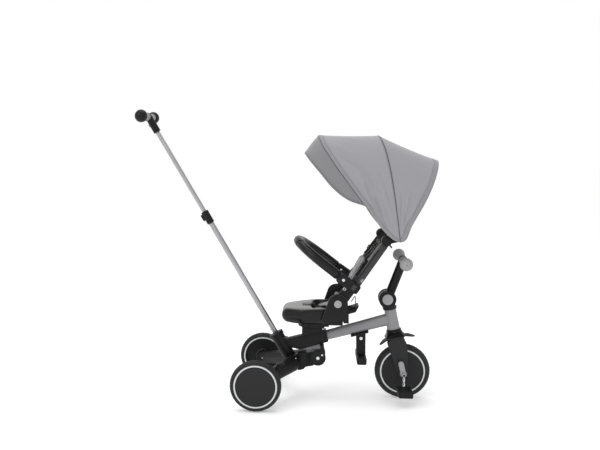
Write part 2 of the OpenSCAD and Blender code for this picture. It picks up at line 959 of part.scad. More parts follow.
// A round rod swept along a path that lies in a plane with the given normal
module rod(path, r, normal) {
    sides = 8;
    n = len(path);
    points = [for (i = [0 : n - 1], k = [0 : sides - 1])
        let (along = tangent(path, i), u = unit(normal - (normal * along) * along), v = cross(along, u))
        path[i] + r * (cos(360 * k / sides) * u + sin(360 * k / sides) * v)];
    rings = [for (i = [0 : n - 2], k = [0 : sides - 1])
        [(i + 1) * sides + k, (i + 1) * sides + (k + 1) % sides,
            i * sides + (k + 1) % sides, i * sides + k]];
    ends = [[for (k = [0 : sides - 1]) k], [for (k = [sides - 1 : -1 : 0]) (n - 1) * sides + k]];
    polyhedron(points, concat(rings, ends), convexity = 4);
}

module bow(top, bulge, eye_y) {
    along = unit(top - canopy_at);
    rod(bow_path(top, bulge, eye_y, bow_start), bow_r, [-along[1], 0, along[0]]);
    both_sides() difference() {
        across(canopy_at, 9, eye_y - eye_t / 2, eye_y + eye_t / 2);
        across(canopy_at, pin_r + run_fit, eye_y - 10, eye_y + 10);
    }
}

module bow_front() {
    color(ink) place() bow(front_top, front_bulge, front_eye_y);
}

module bow_mid() {
    color(ink) place() bow(mid_top, mid_bulge, mid_eye_y);
}

module bow_rear() {
    color(ink) place() bow(rear_top, rear_bulge, rear_eye_y);
}

// One cloth curve: a bow's line, lifted outwards
function cloth_curve(top, bulge, half_w, lift) =
    bow_path(top + lift * unit(top - canopy_at), bulge, half_w + lift, cloth_start);

// A cloth panel between two bows: a closed sheet with an outer and an inner side
module cloth(top_a, bulge_a, top_b, bulge_b, half_w, u0, u1) {
    strips = 6;
    rows = bow_steps + 1;
    side = (strips + 1) * rows;
    function grid(lift) =
        let (ca = cloth_curve(top_a, bulge_a, half_w, lift), cb = cloth_curve(top_b, bulge_b, half_w, lift))
        [for (j = [0 : strips], i = [0 : bow_steps])
            let (u = u0 + (u1 - u0) * j / strips) ca[i] * (1 - u) + cb[i] * u];
    points = concat(grid(cloth_lift + fabric_t), grid(cloth_lift));
    outer = [for (j = [0 : strips - 1], i = [0 : bow_steps - 1])
        [j * rows + i, j * rows + i + 1, (j + 1) * rows + i + 1, (j + 1) * rows + i]];
    inner = [for (f = outer) [f[3] + side, f[2] + side, f[1] + side, f[0] + side]];
    long_edges = [for (j = [0, strips], i = [0 : bow_steps - 1])
        let (p = j * rows + i)
        j == 0 ? [p + 1, p, p + side, p + 1 + side] : [p, p + 1, p + 1 + side, p + side]];
    short_edges = [for (j = [0 : strips - 1], i = [0, bow_steps])
        let (p = j * rows + i)
        i == 0 ? [p, p + rows, p + rows + side, p + side] : [p + rows, p, p + side, p + rows + side]];
    polyhedron(points, concat(outer, inner, long_edges, short_edges), convexity = 6);
}

module canopy_visor() {
    color(cloth_grey) place()
        cloth(visor_top, visor_bulge, front_top, front_bulge, front_eye_y, 0, 0.97);
}

module canopy_front_panel() {
    color(cloth_grey) place()
        cloth(front_top, front_bulge, mid_top, mid_bulge, front_eye_y, 0.01, 0.99);
}

module canopy_rear_panel() {
    color(cloth_grey) place()
        cloth(mid_top, mid_bulge, rear_top, rear_bulge, front_eye_y, 0.01, 1);
}

// ---------- nodes ----------

main_frame();
rear_sleeve();
swivel_base();
hinge_bracket();
frame_pins();
frame_brace();
footrest_bracket();
footrest();
fork();
mudguard();
bar_hub();
axle_clamps();
handlebar();
bar_grips();
bar_button_left();
bar_button_right();
front_tyre();
front_rim();
crank_axle();
pedal_left();
pedal_right();
rear_yoke();
rear_legs();
rear_axles();
rear_tyre_left();
rear_tyre_right();
rear_rim_left();
rear_rim_right();
brake_lever_left();
brake_lever_right();
pole_lower();
pole_collar();
pole_upper();
handle_clamp();
handle_grip();
handle_ends();
handle_button();
pole_button();
swivel_plate();
seat_shell();
seat_pad();
side_brackets();
recline_caps();
seat_lock();
harness_buckle();
backrest_frame();
backrest_shell();
backrest_pad();
shoulder_straps();
canopy_brackets();
bumper_clamps();
bumper_bar();
bumper_button_left();
bumper_button_right();
bow_front();
bow_mid();
bow_rear();
canopy_visor();
canopy_front_panel();
canopy_rear_panel();
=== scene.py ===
"""Looks of a folding children's push tricycle, built round its fixed CAD frame.

Lengths named *_mm are millimetres measured from the rear axles, as the frame's own design is.
"""

import json
import math

import bpy
import numpy as np
from mathutils import Matrix, Vector
from mathutils.bvhtree import BVHTree


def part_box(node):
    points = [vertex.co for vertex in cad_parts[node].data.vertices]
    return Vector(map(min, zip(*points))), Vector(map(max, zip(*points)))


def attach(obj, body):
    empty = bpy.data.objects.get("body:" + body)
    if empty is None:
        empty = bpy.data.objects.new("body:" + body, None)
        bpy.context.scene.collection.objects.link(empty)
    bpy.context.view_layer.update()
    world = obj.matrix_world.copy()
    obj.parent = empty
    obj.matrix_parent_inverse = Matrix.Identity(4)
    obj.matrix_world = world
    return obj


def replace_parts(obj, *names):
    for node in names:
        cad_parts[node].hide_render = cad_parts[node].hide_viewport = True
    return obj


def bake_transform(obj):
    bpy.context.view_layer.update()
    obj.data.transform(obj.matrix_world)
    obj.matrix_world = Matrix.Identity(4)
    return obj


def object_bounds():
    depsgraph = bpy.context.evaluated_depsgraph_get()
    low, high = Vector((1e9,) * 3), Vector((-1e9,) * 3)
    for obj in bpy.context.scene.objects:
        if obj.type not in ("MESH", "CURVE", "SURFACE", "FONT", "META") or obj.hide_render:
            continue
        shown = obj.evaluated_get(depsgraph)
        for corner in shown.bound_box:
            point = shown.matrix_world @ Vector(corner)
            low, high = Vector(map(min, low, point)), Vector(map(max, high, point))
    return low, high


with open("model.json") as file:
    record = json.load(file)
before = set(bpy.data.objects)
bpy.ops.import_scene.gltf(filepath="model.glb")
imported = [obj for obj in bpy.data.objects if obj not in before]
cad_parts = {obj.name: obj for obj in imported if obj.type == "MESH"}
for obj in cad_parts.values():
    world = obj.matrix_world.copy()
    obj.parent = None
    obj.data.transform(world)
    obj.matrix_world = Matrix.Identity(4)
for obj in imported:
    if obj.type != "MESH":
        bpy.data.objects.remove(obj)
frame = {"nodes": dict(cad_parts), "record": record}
cad_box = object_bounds()

MM = 0.001
SIDES = (1, -1)
NAMED_SIDES = ((1, "left"), (-1, "right"))
X, Y, Z = Vector((1, 0, 0)), Vector((0, 1, 0)), Vector((0, 0, 1))
REAR_X = sum(v.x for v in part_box("rear_axles")) / 2
SLOT_OF = {s["node"]: s["material_slot"] for s in frame["record"]["subparts"]}
RECLINE_MM, BACK_LEAN = (299.0, 383.0), math.radians(34)
BUMPER_MM, BUMPER_TILT = (-37.0, 88.5), math.radians(3.5)
HEAD_MM, HEAD_LEAN = (501.0, 345.0), math.radians(11)


# ---------- places ----------

def at(x, y, z):
    """A point in the row frame, from millimetres off the rear axles, the mid-plane and the floor."""
    return Vector((REAR_X + x * MM, y * MM, z * MM))


def back(x, y, z):
    """A point from millimetres across and up the backrest, measured from its recline hinge."""
    c, s = math.cos(BACK_LEAN), math.sin(BACK_LEAN)
    return at(RECLINE_MM[0] + x * c + z * s, y, RECLINE_MM[1] - x * s + z * c)


def bumper(x, y, z):
    """A point from millimetres along and above the safety bar, measured from its hinge."""
    c, s = math.cos(BUMPER_TILT), math.sin(BUMPER_TILT)
    return back(BUMPER_MM[0] + x * c + z * s, y, BUMPER_MM[1] - x * s + z * c)


def head(x, y, z):
    """A point from millimetres across and up the steering axis, measured from the handlebar's hinge."""
    c, s = math.cos(HEAD_LEAN), math.sin(HEAD_LEAN)
    return at(HEAD_MM[0] + x * c - z * s, y, HEAD_MM[1] + x * s + z * c)


BACK_UP = (back(0, 0, 1) - back(0, 0, 0)).normalized()
BACK_IN = (back(1, 0, 0) - back(0, 0, 0)).normalized()


def middle(node):
    low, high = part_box(node)
    return (low + high) / 2


def angles(count, closed=False):
    """Angles evenly spaced round a circle, ending on the first one again where closed."""
    return [2 * math.pi * k / count for k in range(count + closed)]


# ---------- node graphs ----------

class Graph:
    """A material's node tree, with short calls for what the materials below share."""

    def __init__(self, name, material=None):
        self.material = material or bpy.data.materials.new(name)
        self.material.use_nodes = True
        self.nodes = self.material.node_tree.nodes
        self.links = self.material.node_tree.links
        self.shader = self.nodes["Principled BSDF"]

    def add(self, kind, settings=None, **sockets):
        node = self.nodes.new("ShaderNode" + kind)
        for key, value in (settings or {}).items():
            setattr(node, key, value)
        for key, value in sockets.items():
            self.put(node.inputs[key.replace("_", " ")], value)
        return node

    def put(self, socket, value):
        if isinstance(value, bpy.types.NodeSocket):
            self.links.new(value, socket)
        else:
            socket.default_value = value

    def set(self, **sockets):
        for key, value in sockets.items():
            self.put(self.shader.inputs[key.replace("_", " ")], value)

    def math(self, operation, a, b=0.0):
        node = self.add("Math", {"operation": operation})
        self.put(node.inputs[0], a)
        self.put(node.inputs[1], b)
        return node.outputs[0]

    def times(self, a, b):
        return self.math("MULTIPLY", a, b)

    def dot(self, a, b):
        node = self.add("VectorMath", {"operation": "DOT_PRODUCT"})
        self.put(node.inputs[0], a)
        self.put(node.inputs[1], b)
        return node.outputs["Value"]

    def ramp(self, value, low, high, to_low=0.0, to_high=1.0):
        node = self.add("MapRange", {"clamp": True}, Value=value)
        for socket, number in zip(("From Min", "From Max", "To Min", "To Max"), (low, high, to_low, to_high)):
            node.inputs[socket].default_value = number
        return node.outputs["Result"]

    def mix(self, factor, a, b):
        node = self.add("Mix", {"data_type": "RGBA"})
        self.put(node.inputs[0], factor)
        self.put(node.inputs[6], a)
        self.put(node.inputs[7], b)
        return node.outputs[2]

    def tint(self, base, mask, share, colour):
        """A colour laid over base by a share of a mask."""
        return self.mix(self.times(mask, share), base, colour)

    def coords(self, kind="Object"):
        return self.add("TexCoord").outputs[kind]

    def turned(self, where, rotation=(0, 0, 0), scale=(1, 1, 1), offset=(0, 0, 0)):
        node = self.add("Mapping", Vector=where)
        node.inputs["Location"].default_value = offset
        node.inputs["Rotation"].default_value = rotation
        node.inputs["Scale"].default_value = scale
        return node.outputs["Vector"]

    def noise(self, where, scale, detail=3.0, roughness=0.5):
        node = self.add("TexNoise", Vector=where, Scale=scale, Detail=detail, Roughness=roughness)
        return node.outputs["Fac"]

    def bump(self, height, strength, distance_mm):
        node = self.add("Bump", Height=height, Strength=strength, Distance=distance_mm * MM)
        return node.outputs["Normal"]

    def edges(self, radius_mm):
        """0 on flat stretches, rising to 1 on outer and inner edges."""
        soft = self.add("Bevel", {"samples": 4}, Radius=radius_mm * MM).outputs["Normal"]
        return self.ramp(self.dot(soft, self.add("NewGeometry").outputs["Normal"]), 0.99, 0.80)


def rgba(colour, gain=1.0):
    return tuple(min(1.0, c * gain) for c in colour) + (1.0,)


def plastic(name, colour, rough=0.45, grain=0.25, wear=0.3, level=0.2):
    """Moulded plastic: a fine spark grain, faint flow marks, edges rubbed a little paler."""
    g = Graph(name)
    where = g.coords()
    cloud = g.noise(where, 9, 4)
    grain_h = g.noise(where, 1111, 2)
    scuff = g.ramp(g.noise(g.turned(where, scale=(1, 1, 6)), 38, 8, 0.65), 0.58, 0.72)
    worn = g.times(g.edges(1.6), g.ramp(g.noise(where, 60, 4), 0.35, 0.7))
    base = g.mix(cloud, rgba(colour, 0.82), rgba(colour, 1.16))
    base = g.tint(base, grain_h, 0.25, rgba(colour, 1.5))
    base = g.tint(base, scuff, 0.10, rgba(colour, 2.2))
    base = g.tint(base, worn, wear, rgba([c * 2.2 + 0.03 for c in colour]))
    rough_var = g.math("ADD", g.ramp(cloud, 0.3, 0.7, rough - 0.06, rough + 0.06), g.times(scuff, 0.12))
    g.set(Base_Color=base, Roughness=rough_var, Normal=g.bump(grain_h, grain, 0.12), Specular_IOR_Level=level)
    return g.material


def painted(name, colour, rough=0.38):
    """Powder coat: orange peel, a little sparkle, paler on rubbed edges."""
    g = Graph(name)
    where = g.coords()
    peel = g.noise(where, 420, 3)
    cloud = g.noise(where, 6, 3)
    sparkle = g.ramp(g.add("TexVoronoi", Vector=where, Scale=2600.0).outputs["Distance"], 0.0, 0.35, 1.0, 0.0)
    worn = g.times(g.edges(1.2), g.ramp(g.noise(where, 45, 5), 0.45, 0.7))
    base = g.mix(cloud, rgba(colour, 0.94), rgba(colour, 1.06))
    base = g.tint(base, sparkle, 0.16, rgba(colour, 1.5))
    base = g.tint(base, worn, 0.35, rgba(colour, 1.5))
    g.set(Base_Color=base, Roughness=g.ramp(cloud, 0.3, 0.7, rough - 0.05, rough + 0.05),
          Normal=g.bump(peel, 0.12, 0.2), Coat_Weight=0.18, Coat_Roughness=0.25)
    return g.material


def metal(name, colour, rough=0.28, lay=(1, 1, 1)):
    """Drawn or plated metal: fine lines along the lay, and a few cloudy patches."""
    g = Graph(name)
    where = g.coords()
    lines = g.noise(g.turned(where, scale=lay), 900, 2)
    cloud = g.noise(where, 24, 4)
    base = g.mix(cloud, rgba(colour, 0.88), rgba(colour, 1.08))
    base = g.tint(base, lines, 0.25, rgba(colour, 0.7))
    g.set(Base_Color=base, Roughness=g.ramp(lines, 0.3, 0.7, rough - 0.07, rough + 0.1),
          Normal=g.bump(lines, 0.3, 0.05), Metallic=1.0)
    return g.material


def rubber(name, colour, rough=0.75):
    """Soft rubber: matt, with pores, faint bloom and darker hollows."""
    g = Graph(name)
    where = g.coords()
    pores = g.noise(where, 700, 4, 0.7)
    bloom = g.ramp(g.noise(where, 14, 6, 0.6), 0.42, 0.68)
    base = g.mix(pores, rgba(colour, 0.8), rgba(colour, 1.2))
    base = g.tint(base, bloom, 0.16, rgba([c * 1.3 + 0.015 for c in colour]))
    g.set(Base_Color=base, Roughness=g.ramp(bloom, 0.0, 1.0, rough - 0.08, rough + 0.05),
          Normal=g.bump(pores, 0.25, 0.15), Specular_IOR_Level=0.3)
    return g.material


def threads(g, along, across, pitch_mm):
    """Height of a plain weave: over and under threads at the given pitch, from two coordinates in metres."""
    turn = 2 * math.pi / (pitch_mm * MM)
    warp = g.math("SINE", g.times(along, turn))
    weft = g.math("SINE", g.times(across, turn))
    over = g.times(warp, weft)
    ribs = g.math("ADD", g.math("ABSOLUTE", warp), g.math("ABSOLUTE", weft))
    return g.math("ADD", g.times(over, 0.25), g.times(ribs, 0.35))


def woven(name, colour, pitch_mm, plane="UV", lean=0.0, sheen=0.25, rough=0.85):
    """Woven cloth. plane says which two coordinates the threads follow: UV in metres, or two object axes."""
    g = Graph(name)
    if plane == "UV":
        where = g.coords("UV")
        axes = (0, 1)
    else:
        where = g.turned(g.coords(), rotation=(0, lean, 0))
        axes = ["XYZ".index(c) for c in plane]
    parts = g.add("SeparateXYZ", Vector=where).outputs
    weave = threads(g, parts[axes[0]], parts[axes[1]], pitch_mm)
    fuzz = g.noise(where, 520, 3, 0.7)
    cloud = g.noise(g.coords(), 5, 4)
    slubs = g.ramp(g.noise(g.turned(where, scale=(14, 1, 1)), 120, 2), 0.55, 0.8)
    base = g.mix(cloud, rgba(colour, 0.95), rgba(colour, 1.05))
    base = g.mix(g.times(weave, 0.22), rgba(colour, 0.86), base)
    base = g.tint(base, slubs, 0.12, rgba(colour, 1.16))
    height = g.math("ADD", weave, g.times(fuzz, 0.5))
    g.set(Base_Color=base, Roughness=g.ramp(fuzz, 0.3, 0.7, rough - 0.06, rough + 0.06),
          Normal=g.bump(height, 0.35, 0.25), Sheen_Weight=sheen, Sheen_Roughness=0.5, Specular_IOR_Level=0.2)
    return g.material


def vinyl(name, colour, rough=0.3):
    """Padded skin with a fine leather grain."""
    g = Graph(name)
    where = g.coords()
    voronoi = g.add("TexVoronoi", {"feature": "DISTANCE_TO_EDGE"}, Vector=where, Scale=1500.0)
    cells = voronoi.outputs["Distance"]
    folds = g.noise(where, 24, 4, 0.5)
    grain_h = g.math("ADD", g.ramp(cells, 0.0, 0.12), g.times(folds, 0.6))
    cloud = g.noise(where, 11, 4)
    base = g.mix(cloud, rgba(colour, 0.8), rgba(colour, 1.2))
    base = g.mix(g.ramp(cells, 0.0, 0.1, 0.3, 0.0), base, rgba(colour, 0.5))
    g.set(Base_Color=base, Roughness=g.ramp(folds, 0.3, 0.7, rough - 0.03, rough + 0.05),
          Normal=g.bump(grain_h, 0.05, 0.1), Specular_IOR_Level=0.26)
    return g.material


def wheel_disc(name, colour, ring_colour, hub, ring_mm):
    """A moulded wheel disc with a pale ring near its rim, ring_mm being the ring's two radii."""
    g = Graph(name)
    where = g.coords()
    parts = g.add("SeparateXYZ", Vector=g.turned(where, offset=(-hub.x, -hub.y, -hub.z))).outputs
    r = g.math("SQRT", g.math("ADD", g.math("POWER", parts[0], 2.0), g.math("POWER", parts[2], 2.0)))
    inner = g.ramp(r, (ring_mm[0] - 0.3) * MM, (ring_mm[0] + 0.3) * MM)
    outer = g.ramp(r, (ring_mm[1] - 0.3) * MM, (ring_mm[1] + 0.3) * MM, 1.0, 0.0)
    ring = g.times(inner, outer)
    grain_h = g.noise(where, 1100, 2)
    cloud = g.noise(where, 10, 4)
    turned = g.noise(g.add("CombineXYZ", X=r).outputs[0], 1400, 2)
    base = g.mix(cloud, rgba(colour, 0.88), rgba(colour, 1.12))
    # Painted highlight: every edge of the disc is lightened, as though catching the light
    base = g.tint(base, g.edges(1.5), 0.3, rgba(colour, 2.2))
    silver = g.mix(g.times(turned, 0.3), rgba(ring_colour), rgba(ring_colour, 0.75))
    g.set(Base_Color=g.mix(ring, base, silver), Roughness=g.ramp(ring, 0.0, 1.0, 0.5, 0.32),
          Metallic=g.times(ring, 0.25), Normal=g.bump(grain_h, 0.2, 0.12), Specular_IOR_Level=0.18)
    return g.material


INK = (0.0065, 0.0065, 0.0067)
SOFT_INK = (0.040, 0.040, 0.042)
GREY = (0.225, 0.222, 0.236)
CLOTH = (0.335, 0.331, 0.352)
SILVER = (0.66, 0.68, 0.69)

MATERIALS = {
    "frame_paint": painted("frame_paint", GREY),
    "moulded_black": plastic("moulded_black", INK, 0.44),
    "backrest_plastic": plastic("backrest_plastic", SOFT_INK, 0.40),
    "handlebar_black": plastic("handlebar_black", INK, 0.38, grain=0.15),
    "trim_grey": plastic("trim_grey", (0.30, 0.297, 0.31), 0.42, wear=0.1),
    "grip_grey": rubber("grip_grey", (0.29, 0.287, 0.292), 0.6),
    "tyre_black": rubber("tyre_black", (0.016, 0.016, 0.016), 0.7),
    "plated_steel": metal("plated_steel", SILVER, 0.25),
    "pole_aluminium": metal("pole_aluminium", (0.40, 0.40, 0.42), 0.36, (60, 60, 3)),
    "pedal_black": plastic("pedal_black", INK, 0.55, grain=0.4),
    "bumper_skin": vinyl("bumper_skin", (0.0065, 0.0065, 0.0068), 0.30),
    "button_graphite": plastic("button_graphite", SOFT_INK, 0.35, grain=0.1),
    "seat_cloth": woven("seat_cloth", CLOTH, 1.6, "XY"),
    "webbing": woven("webbing", (0.014, 0.014, 0.015), 1.3, "XY", sheen=0.1),
    "buckle_black": plastic("buckle_black", (0.012, 0.012, 0.012), 0.3, grain=0.1),
    "bow_black": painted("bow_black", (0.012, 0.012, 0.012), 0.35),
    "canopy_cloth": woven("canopy_cloth", CLOTH, 1.1),
    # Painted shade: the visor's cloth is the canopy's cloth made darker, for the visor's downward-facing side
    "visor_cloth": woven("visor_cloth", (0.236, 0.234, 0.248), 1.1),
}
GLOSS_BLACK = plastic("seat_gloss", (0.007, 0.007, 0.0072), 0.22, grain=0.03, level=0.22)


def over_base(material, colour, share):
    """Lays a second colour over a material's own, as far as share(graph) says."""
    g = Graph(material.name, material)
    own = g.shader.inputs["Base Color"].links[0].from_socket
    g.set(Base_Color=g.mix(share(g), own, colour))


def upward(g):
    """1 where a surface faces up."""
    parts = g.add("SeparateXYZ", Vector=g.add("NewGeometry").outputs["Normal"]).outputs
    return g.ramp(parts[2], 0.80, 0.985)


def low_on_back(g):
    """1 less than 102 mm up the backrest from its recline axis."""
    level = back(0, 0, 102).dot(BACK_UP)
    return g.ramp(g.dot(g.coords(), BACK_UP), level + MM, level - MM)


# Painted reflection: the seat's upward faces are painted grey, standing in for the white sky that the glossy
# black mirrors there
over_base(GLOSS_BLACK, (0.15, 0.148, 0.142, 1), upward)
CROWN_BLACK = plastic("crown_gloss", (0.0045, 0.0045, 0.0047), 0.3, grain=0.05, level=0.10)
FORK_BLACK = plastic("fork_matt", (0.019, 0.019, 0.0195), 0.5, grain=0.3)
SHELL_BLACK = plastic("back_shell_matt", (0.010, 0.010, 0.0105), 0.75, grain=0.4, level=0.08)
BACK_CLOTH = woven("back_cloth", CLOTH, 1.6, "YZ", lean=math.radians(-34))
PIPING = woven("piping", (0.20, 0.198, 0.212), 0.8, "XZ", rough=0.9)
THREAD = woven("thread", (0.24, 0.238, 0.25), 0.5, "XZ")
TIE_WEB = woven("tie_webbing", (0.30, 0.30, 0.265), 1.3, "XZ", sheen=0.1)


# ---------- carried-over CAD nodes ----------

SOFT_EDGE_MM = {node: width for width, nodes in (
    (0.5, "bumper_clamps"),
    (0.8, "main_frame recline_caps handle_clamp"),
    (1.0, "rear_sleeve swivel_base hinge_bracket bar_hub swivel_plate axle_clamps brake_lever_left "
           "brake_lever_right pole_collar"),
    (1.2, "backrest_frame canopy_brackets pedal_left pedal_right harness_buckle bar_button_left "
           "bar_button_right"),
    (1.4, "rear_yoke side_brackets"),
    (1.6, "footrest fork seat_lock"),
    (2.0, "rear_legs backrest_shell"),
    (2.2, "seat_shell"),
) for node in nodes.split()}
# The backrest frame's cheeks are moulded blacker than its arms
BACK_TWO_TONE = plastic("backrest_two_tone", SOFT_INK, 0.40)
over_base(BACK_TWO_TONE, (0.0085, 0.0085, 0.0088, 1), low_on_back)
OWN_LOOK = {"seat_shell": GLOSS_BLACK, "backrest_shell": SHELL_BLACK, "fork": FORK_BLACK,
            "backrest_frame": BACK_TWO_TONE}


def smooth_faces(mesh):
    mesh.polygons.foreach_set("use_smooth", [True] * len(mesh.polygons))


def soften(node):
    """Rounded edges on a CAD node, by modifiers only."""
    o = frame["nodes"][node]
    smooth_faces(o.data)
    weld = o.modifiers.new("weld", "WELD")
    weld.merge_threshold = 1e-5
    bevel = o.modifiers.new("edges", "BEVEL")
    bevel.width = SOFT_EDGE_MM.get(node, 0.6) * MM
    bevel.segments = 2
    bevel.limit_method = "ANGLE"
    bevel.angle_limit = math.radians(32)
    bevel.harden_normals = True
    bevel.use_clamp_overlap = True


WHEELS = {"front_rim": (80.2, 86.2), "rear_rim_left": (74.2, 80.4), "rear_rim_right": (74.2, 80.4)}


def dress_cad():
    for node, o in frame["nodes"].items():
        if node in WHEELS:
            material = wheel_disc("disc_" + node, (0.0185, 0.0185, 0.019), SILVER, middle(node), WHEELS[node])
        else:
            material = OWN_LOOK.get(node, MATERIALS[SLOT_OF[node]])
        o.data.materials.clear()
        o.data.materials.append(material)
        soften(node)


dress_cad()


# ---------- building pieces ----------

def placed(name, data):
    """A new object in the scene."""
    o = bpy.data.objects.new(name, data)
    bpy.context.scene.collection.objects.link(o)
    return o


def piece(name, shape, body, slot, material=None, uv=None):
    """A mesh piece in the row frame that rides on a body. shape is its points, in metres, and its faces."""
    points, faces = shape
    mesh = bpy.data.meshes.new(name)
    mesh.from_pydata([tuple(p) for p in points], [], faces)
    mesh.validate()
    smooth_faces(mesh)
    if uv is not None:
        layer = mesh.uv_layers.new(name="UVMap")
        for loop in mesh.loops:
            layer.data[loop.index].uv = uv[loop.vertex_index]
    mesh.materials.append(material or MATERIALS[slot])
    o = placed(name, mesh)
    if body:
        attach(o, body)
    return o


def rings_to_faces(rows, columns, closed_rows=False, closed_columns=True):
    """Quads over a grid of points stored row by row."""
    faces = []
    for i in range(rows if closed_rows else rows - 1):
        for j in range(columns if closed_columns else columns - 1):
            a, b = i * columns + j, i * columns + (j + 1) % columns
            c, d = ((i + 1) % rows) * columns + (j + 1) % columns, ((i + 1) % rows) * columns + j
            faces.append((a, b, c, d))
    return faces


def closed_tube(rows, columns):
    """Faces over a row of rings, with the two end rings filled in."""
    last = (rows - 1) * columns
    return rings_to_faces(rows, columns) + [tuple(range(columns - 1, -1, -1)),
                                            tuple(last + k for k in range(columns))]


def tube_mesh(path, radius, sides=10, squash=None):
    """Points and faces of a closed round bar along a path. squash=(direction, share) flattens its section."""
    points, count = [], len(path)
    for i, p in enumerate(path):
        t = (path[min(i + 1, count - 1)] - path[max(i - 1, 0)]).normalized()
        ref = Y if abs(t.y) < 0.9 else Z
        u = (ref - t * ref.dot(t)).normalized()
        v = t.cross(u)
        for a in angles(sides):
            offset = radius * (math.cos(a) * u + math.sin(a) * v)
            if squash:
                offset -= squash[0] * offset.dot(squash[0]) * (1 - squash[1])
            points.append(p + offset)
    return points, closed_tube(count, sides)


def rod(name, path, radius_mm, body, slot, material=None, sides=8):
    """A round bar, bead or cord along a path."""
    return piece(name, tube_mesh(path, radius_mm * MM, sides), body, slot, material)


def joined(parts):
    """One list of points and faces from several."""
    points, faces = [], []
    for p, f in parts:
        faces += [tuple(i + len(points) for i in face) for face in f]
        points += p
    return points, faces


def lathe(profile_mm, centre, segments=96, wobble=None):
    """A ring turned round the Y axis through centre, from a closed profile of (radius, along) points."""
    points = []
    for s, a in enumerate(angles(segments)):
        for k, (r, along) in enumerate(profile_mm):
            r2 = r if wobble is None else r + wobble(s, k, along)
            points.append(centre + Vector((r2 * math.cos(a), along, r2 * math.sin(a))) * MM)
    return points, rings_to_faces(segments, len(profile_mm), closed_rows=True)


def button(centre, radius_mm, height_mm, side):
    """A domed rivet head or button that stands out along Y on one side."""
    dome, segments = 0.35, 32
    steps = [(radius_mm, 0.0), (radius_mm, height_mm * (1 - dome))]
    steps += [(radius_mm * math.cos(t), height_mm * (1 - dome + dome * math.sin(t)))
              for t in (math.pi / 10 * k for k in range(1, 5))]
    points = []
    for r, h in steps:
        points += [centre + Vector((r * math.cos(a), side * h, r * math.sin(a))) * MM
                   for a in angles(segments)]
    points.append(centre + Y * side * height_mm * MM)
    faces = rings_to_faces(len(steps), segments)
    last = (len(steps) - 1) * segments
    faces += [(last + s, last + (s + 1) % segments, len(points) - 1) for s in range(segments)]
    faces.append(tuple(range(segments - 1, -1, -1)))
    return points, [f[::-1] for f in faces] if side > 0 else faces


def ribbon_mesh(path, w, thickness):
    """A flat strap: path of points, half its width as a Vector, and its thickness in metres."""
    points, count = [], len(path)
    for i, p in enumerate(path):
        t = (path[min(i + 1, count - 1)] - path[max(i - 1, 0)]).normalized()
        n = t.cross(w).normalized() * thickness / 2
        points += [p - w - n, p - w * 0.9 - n * 1.25, p + w * 0.9 - n * 1.25, p + w - n,
                   p + w + n, p + w * 0.9 + n * 1.25, p - w * 0.9 + n * 1.25, p - w + n]
    return points, closed_tube(count, 8)


def smooth_path(points, steps=12):
    """A Catmull-Rom curve through points."""
    p = [points[0]] + list(points) + [points[-1]]
    out = []
    for i in range(1, len(p) - 2):
        for s in range(steps):
            t = s / steps
            out.append(0.5 * ((2 * p[i]) + (p[i + 1] - p[i - 1]) * t
                              + (2 * p[i - 1] - 5 * p[i] + 4 * p[i + 1] - p[i + 2]) * t * t
                              + (3 * p[i] - p[i - 1] - 3 * p[i + 1] + p[i + 2]) * t ** 3))
    out.append(p[-2])
    return out


def stitches(path, pitch_mm, length_mm, radius_mm):
    """A row of sewn stitches along a path, each a small bar."""
    parts, travelled, next_at = [], 0.0, 0.0
    for i in range(len(path) - 1):
        step = (path[i + 1] - path[i]).length
        while travelled + step > next_at:
            t = (next_at - travelled) / step
            p = path[i].lerp(path[i + 1], t)
            d = (path[i + 1] - path[i]).normalized() * length_mm * MM / 2
            parts.append(tube_mesh([p - d, p, p + d], radius_mm * MM, 5))
            next_at += pitch_mm * MM
        travelled += step
    return joined(parts)


# ---------- tyres ----------

def tyre(name, node, body, r, depth, lip_r):
    """A solid foam tyre: crowned tread with grooves and sipes, a raised lip on each sidewall."""
    half, crown = 19.0, 24.0
    profile = []
    for k in range(33):
        y = -half + 2 * half * k / 32
        profile.append((r - crown + math.sqrt(crown ** 2 - y ** 2), y))
    shoulder = profile[0][0]
    side = []
    steps = ((0.0, 0.0), (0.25, 0.0), (0.32, 0.9), (0.42, 0.9), (0.5, 0.0), (0.8, -0.2), (1.0, -1.2))
    for share, out in steps:
        side.append((shoulder - (shoulder - (r - depth)) * share, out))
    profile += [(rr, half + min(0.0, o)) for rr, o in side[1:]]
    profile += [(rr, -half - min(0.0, o)) for rr, o in side[:0:-1]]

    def tread(s, k, y):
        if k > 32:
            return 0.0
        cut = 0.0
        if abs(y) < 1.3 or abs(abs(y) - 7.5) < 1.0:
            cut = 1.5
        block = (s + (3 if y > 0 else 0)) % 6
        if 8.5 < abs(y) < 17.0 and block == 0:
            cut = max(cut, 1.3)
        if 1.3 < abs(y) < 6.5 and (s + 2) % 6 == 0:
            cut = max(cut, 0.9)
        return -cut

    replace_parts(piece(name, lathe(profile, middle(node), 288, tread), body, "tyre_black"), node)
    lips = [lathe([(lip_r + 0.7 * math.cos(b), side * (half - 0.1) + 0.7 * math.sin(b)) for b in angles(6)],
                  middle(node), 120) for side in SIDES]
    piece(name + "_lips", joined(lips), body, "tyre_black")


tyre("tyre_front", "front_tyre", "front_wheel", 105.5, 19.5, 97.0)
for _, tag in NAMED_SIDES:
    tyre("tyre_rear_" + tag, "rear_tyre_" + tag, "rear_wheel_" + tag, 95.0, 15.0, 87.4)


# ---------- canopy ----------

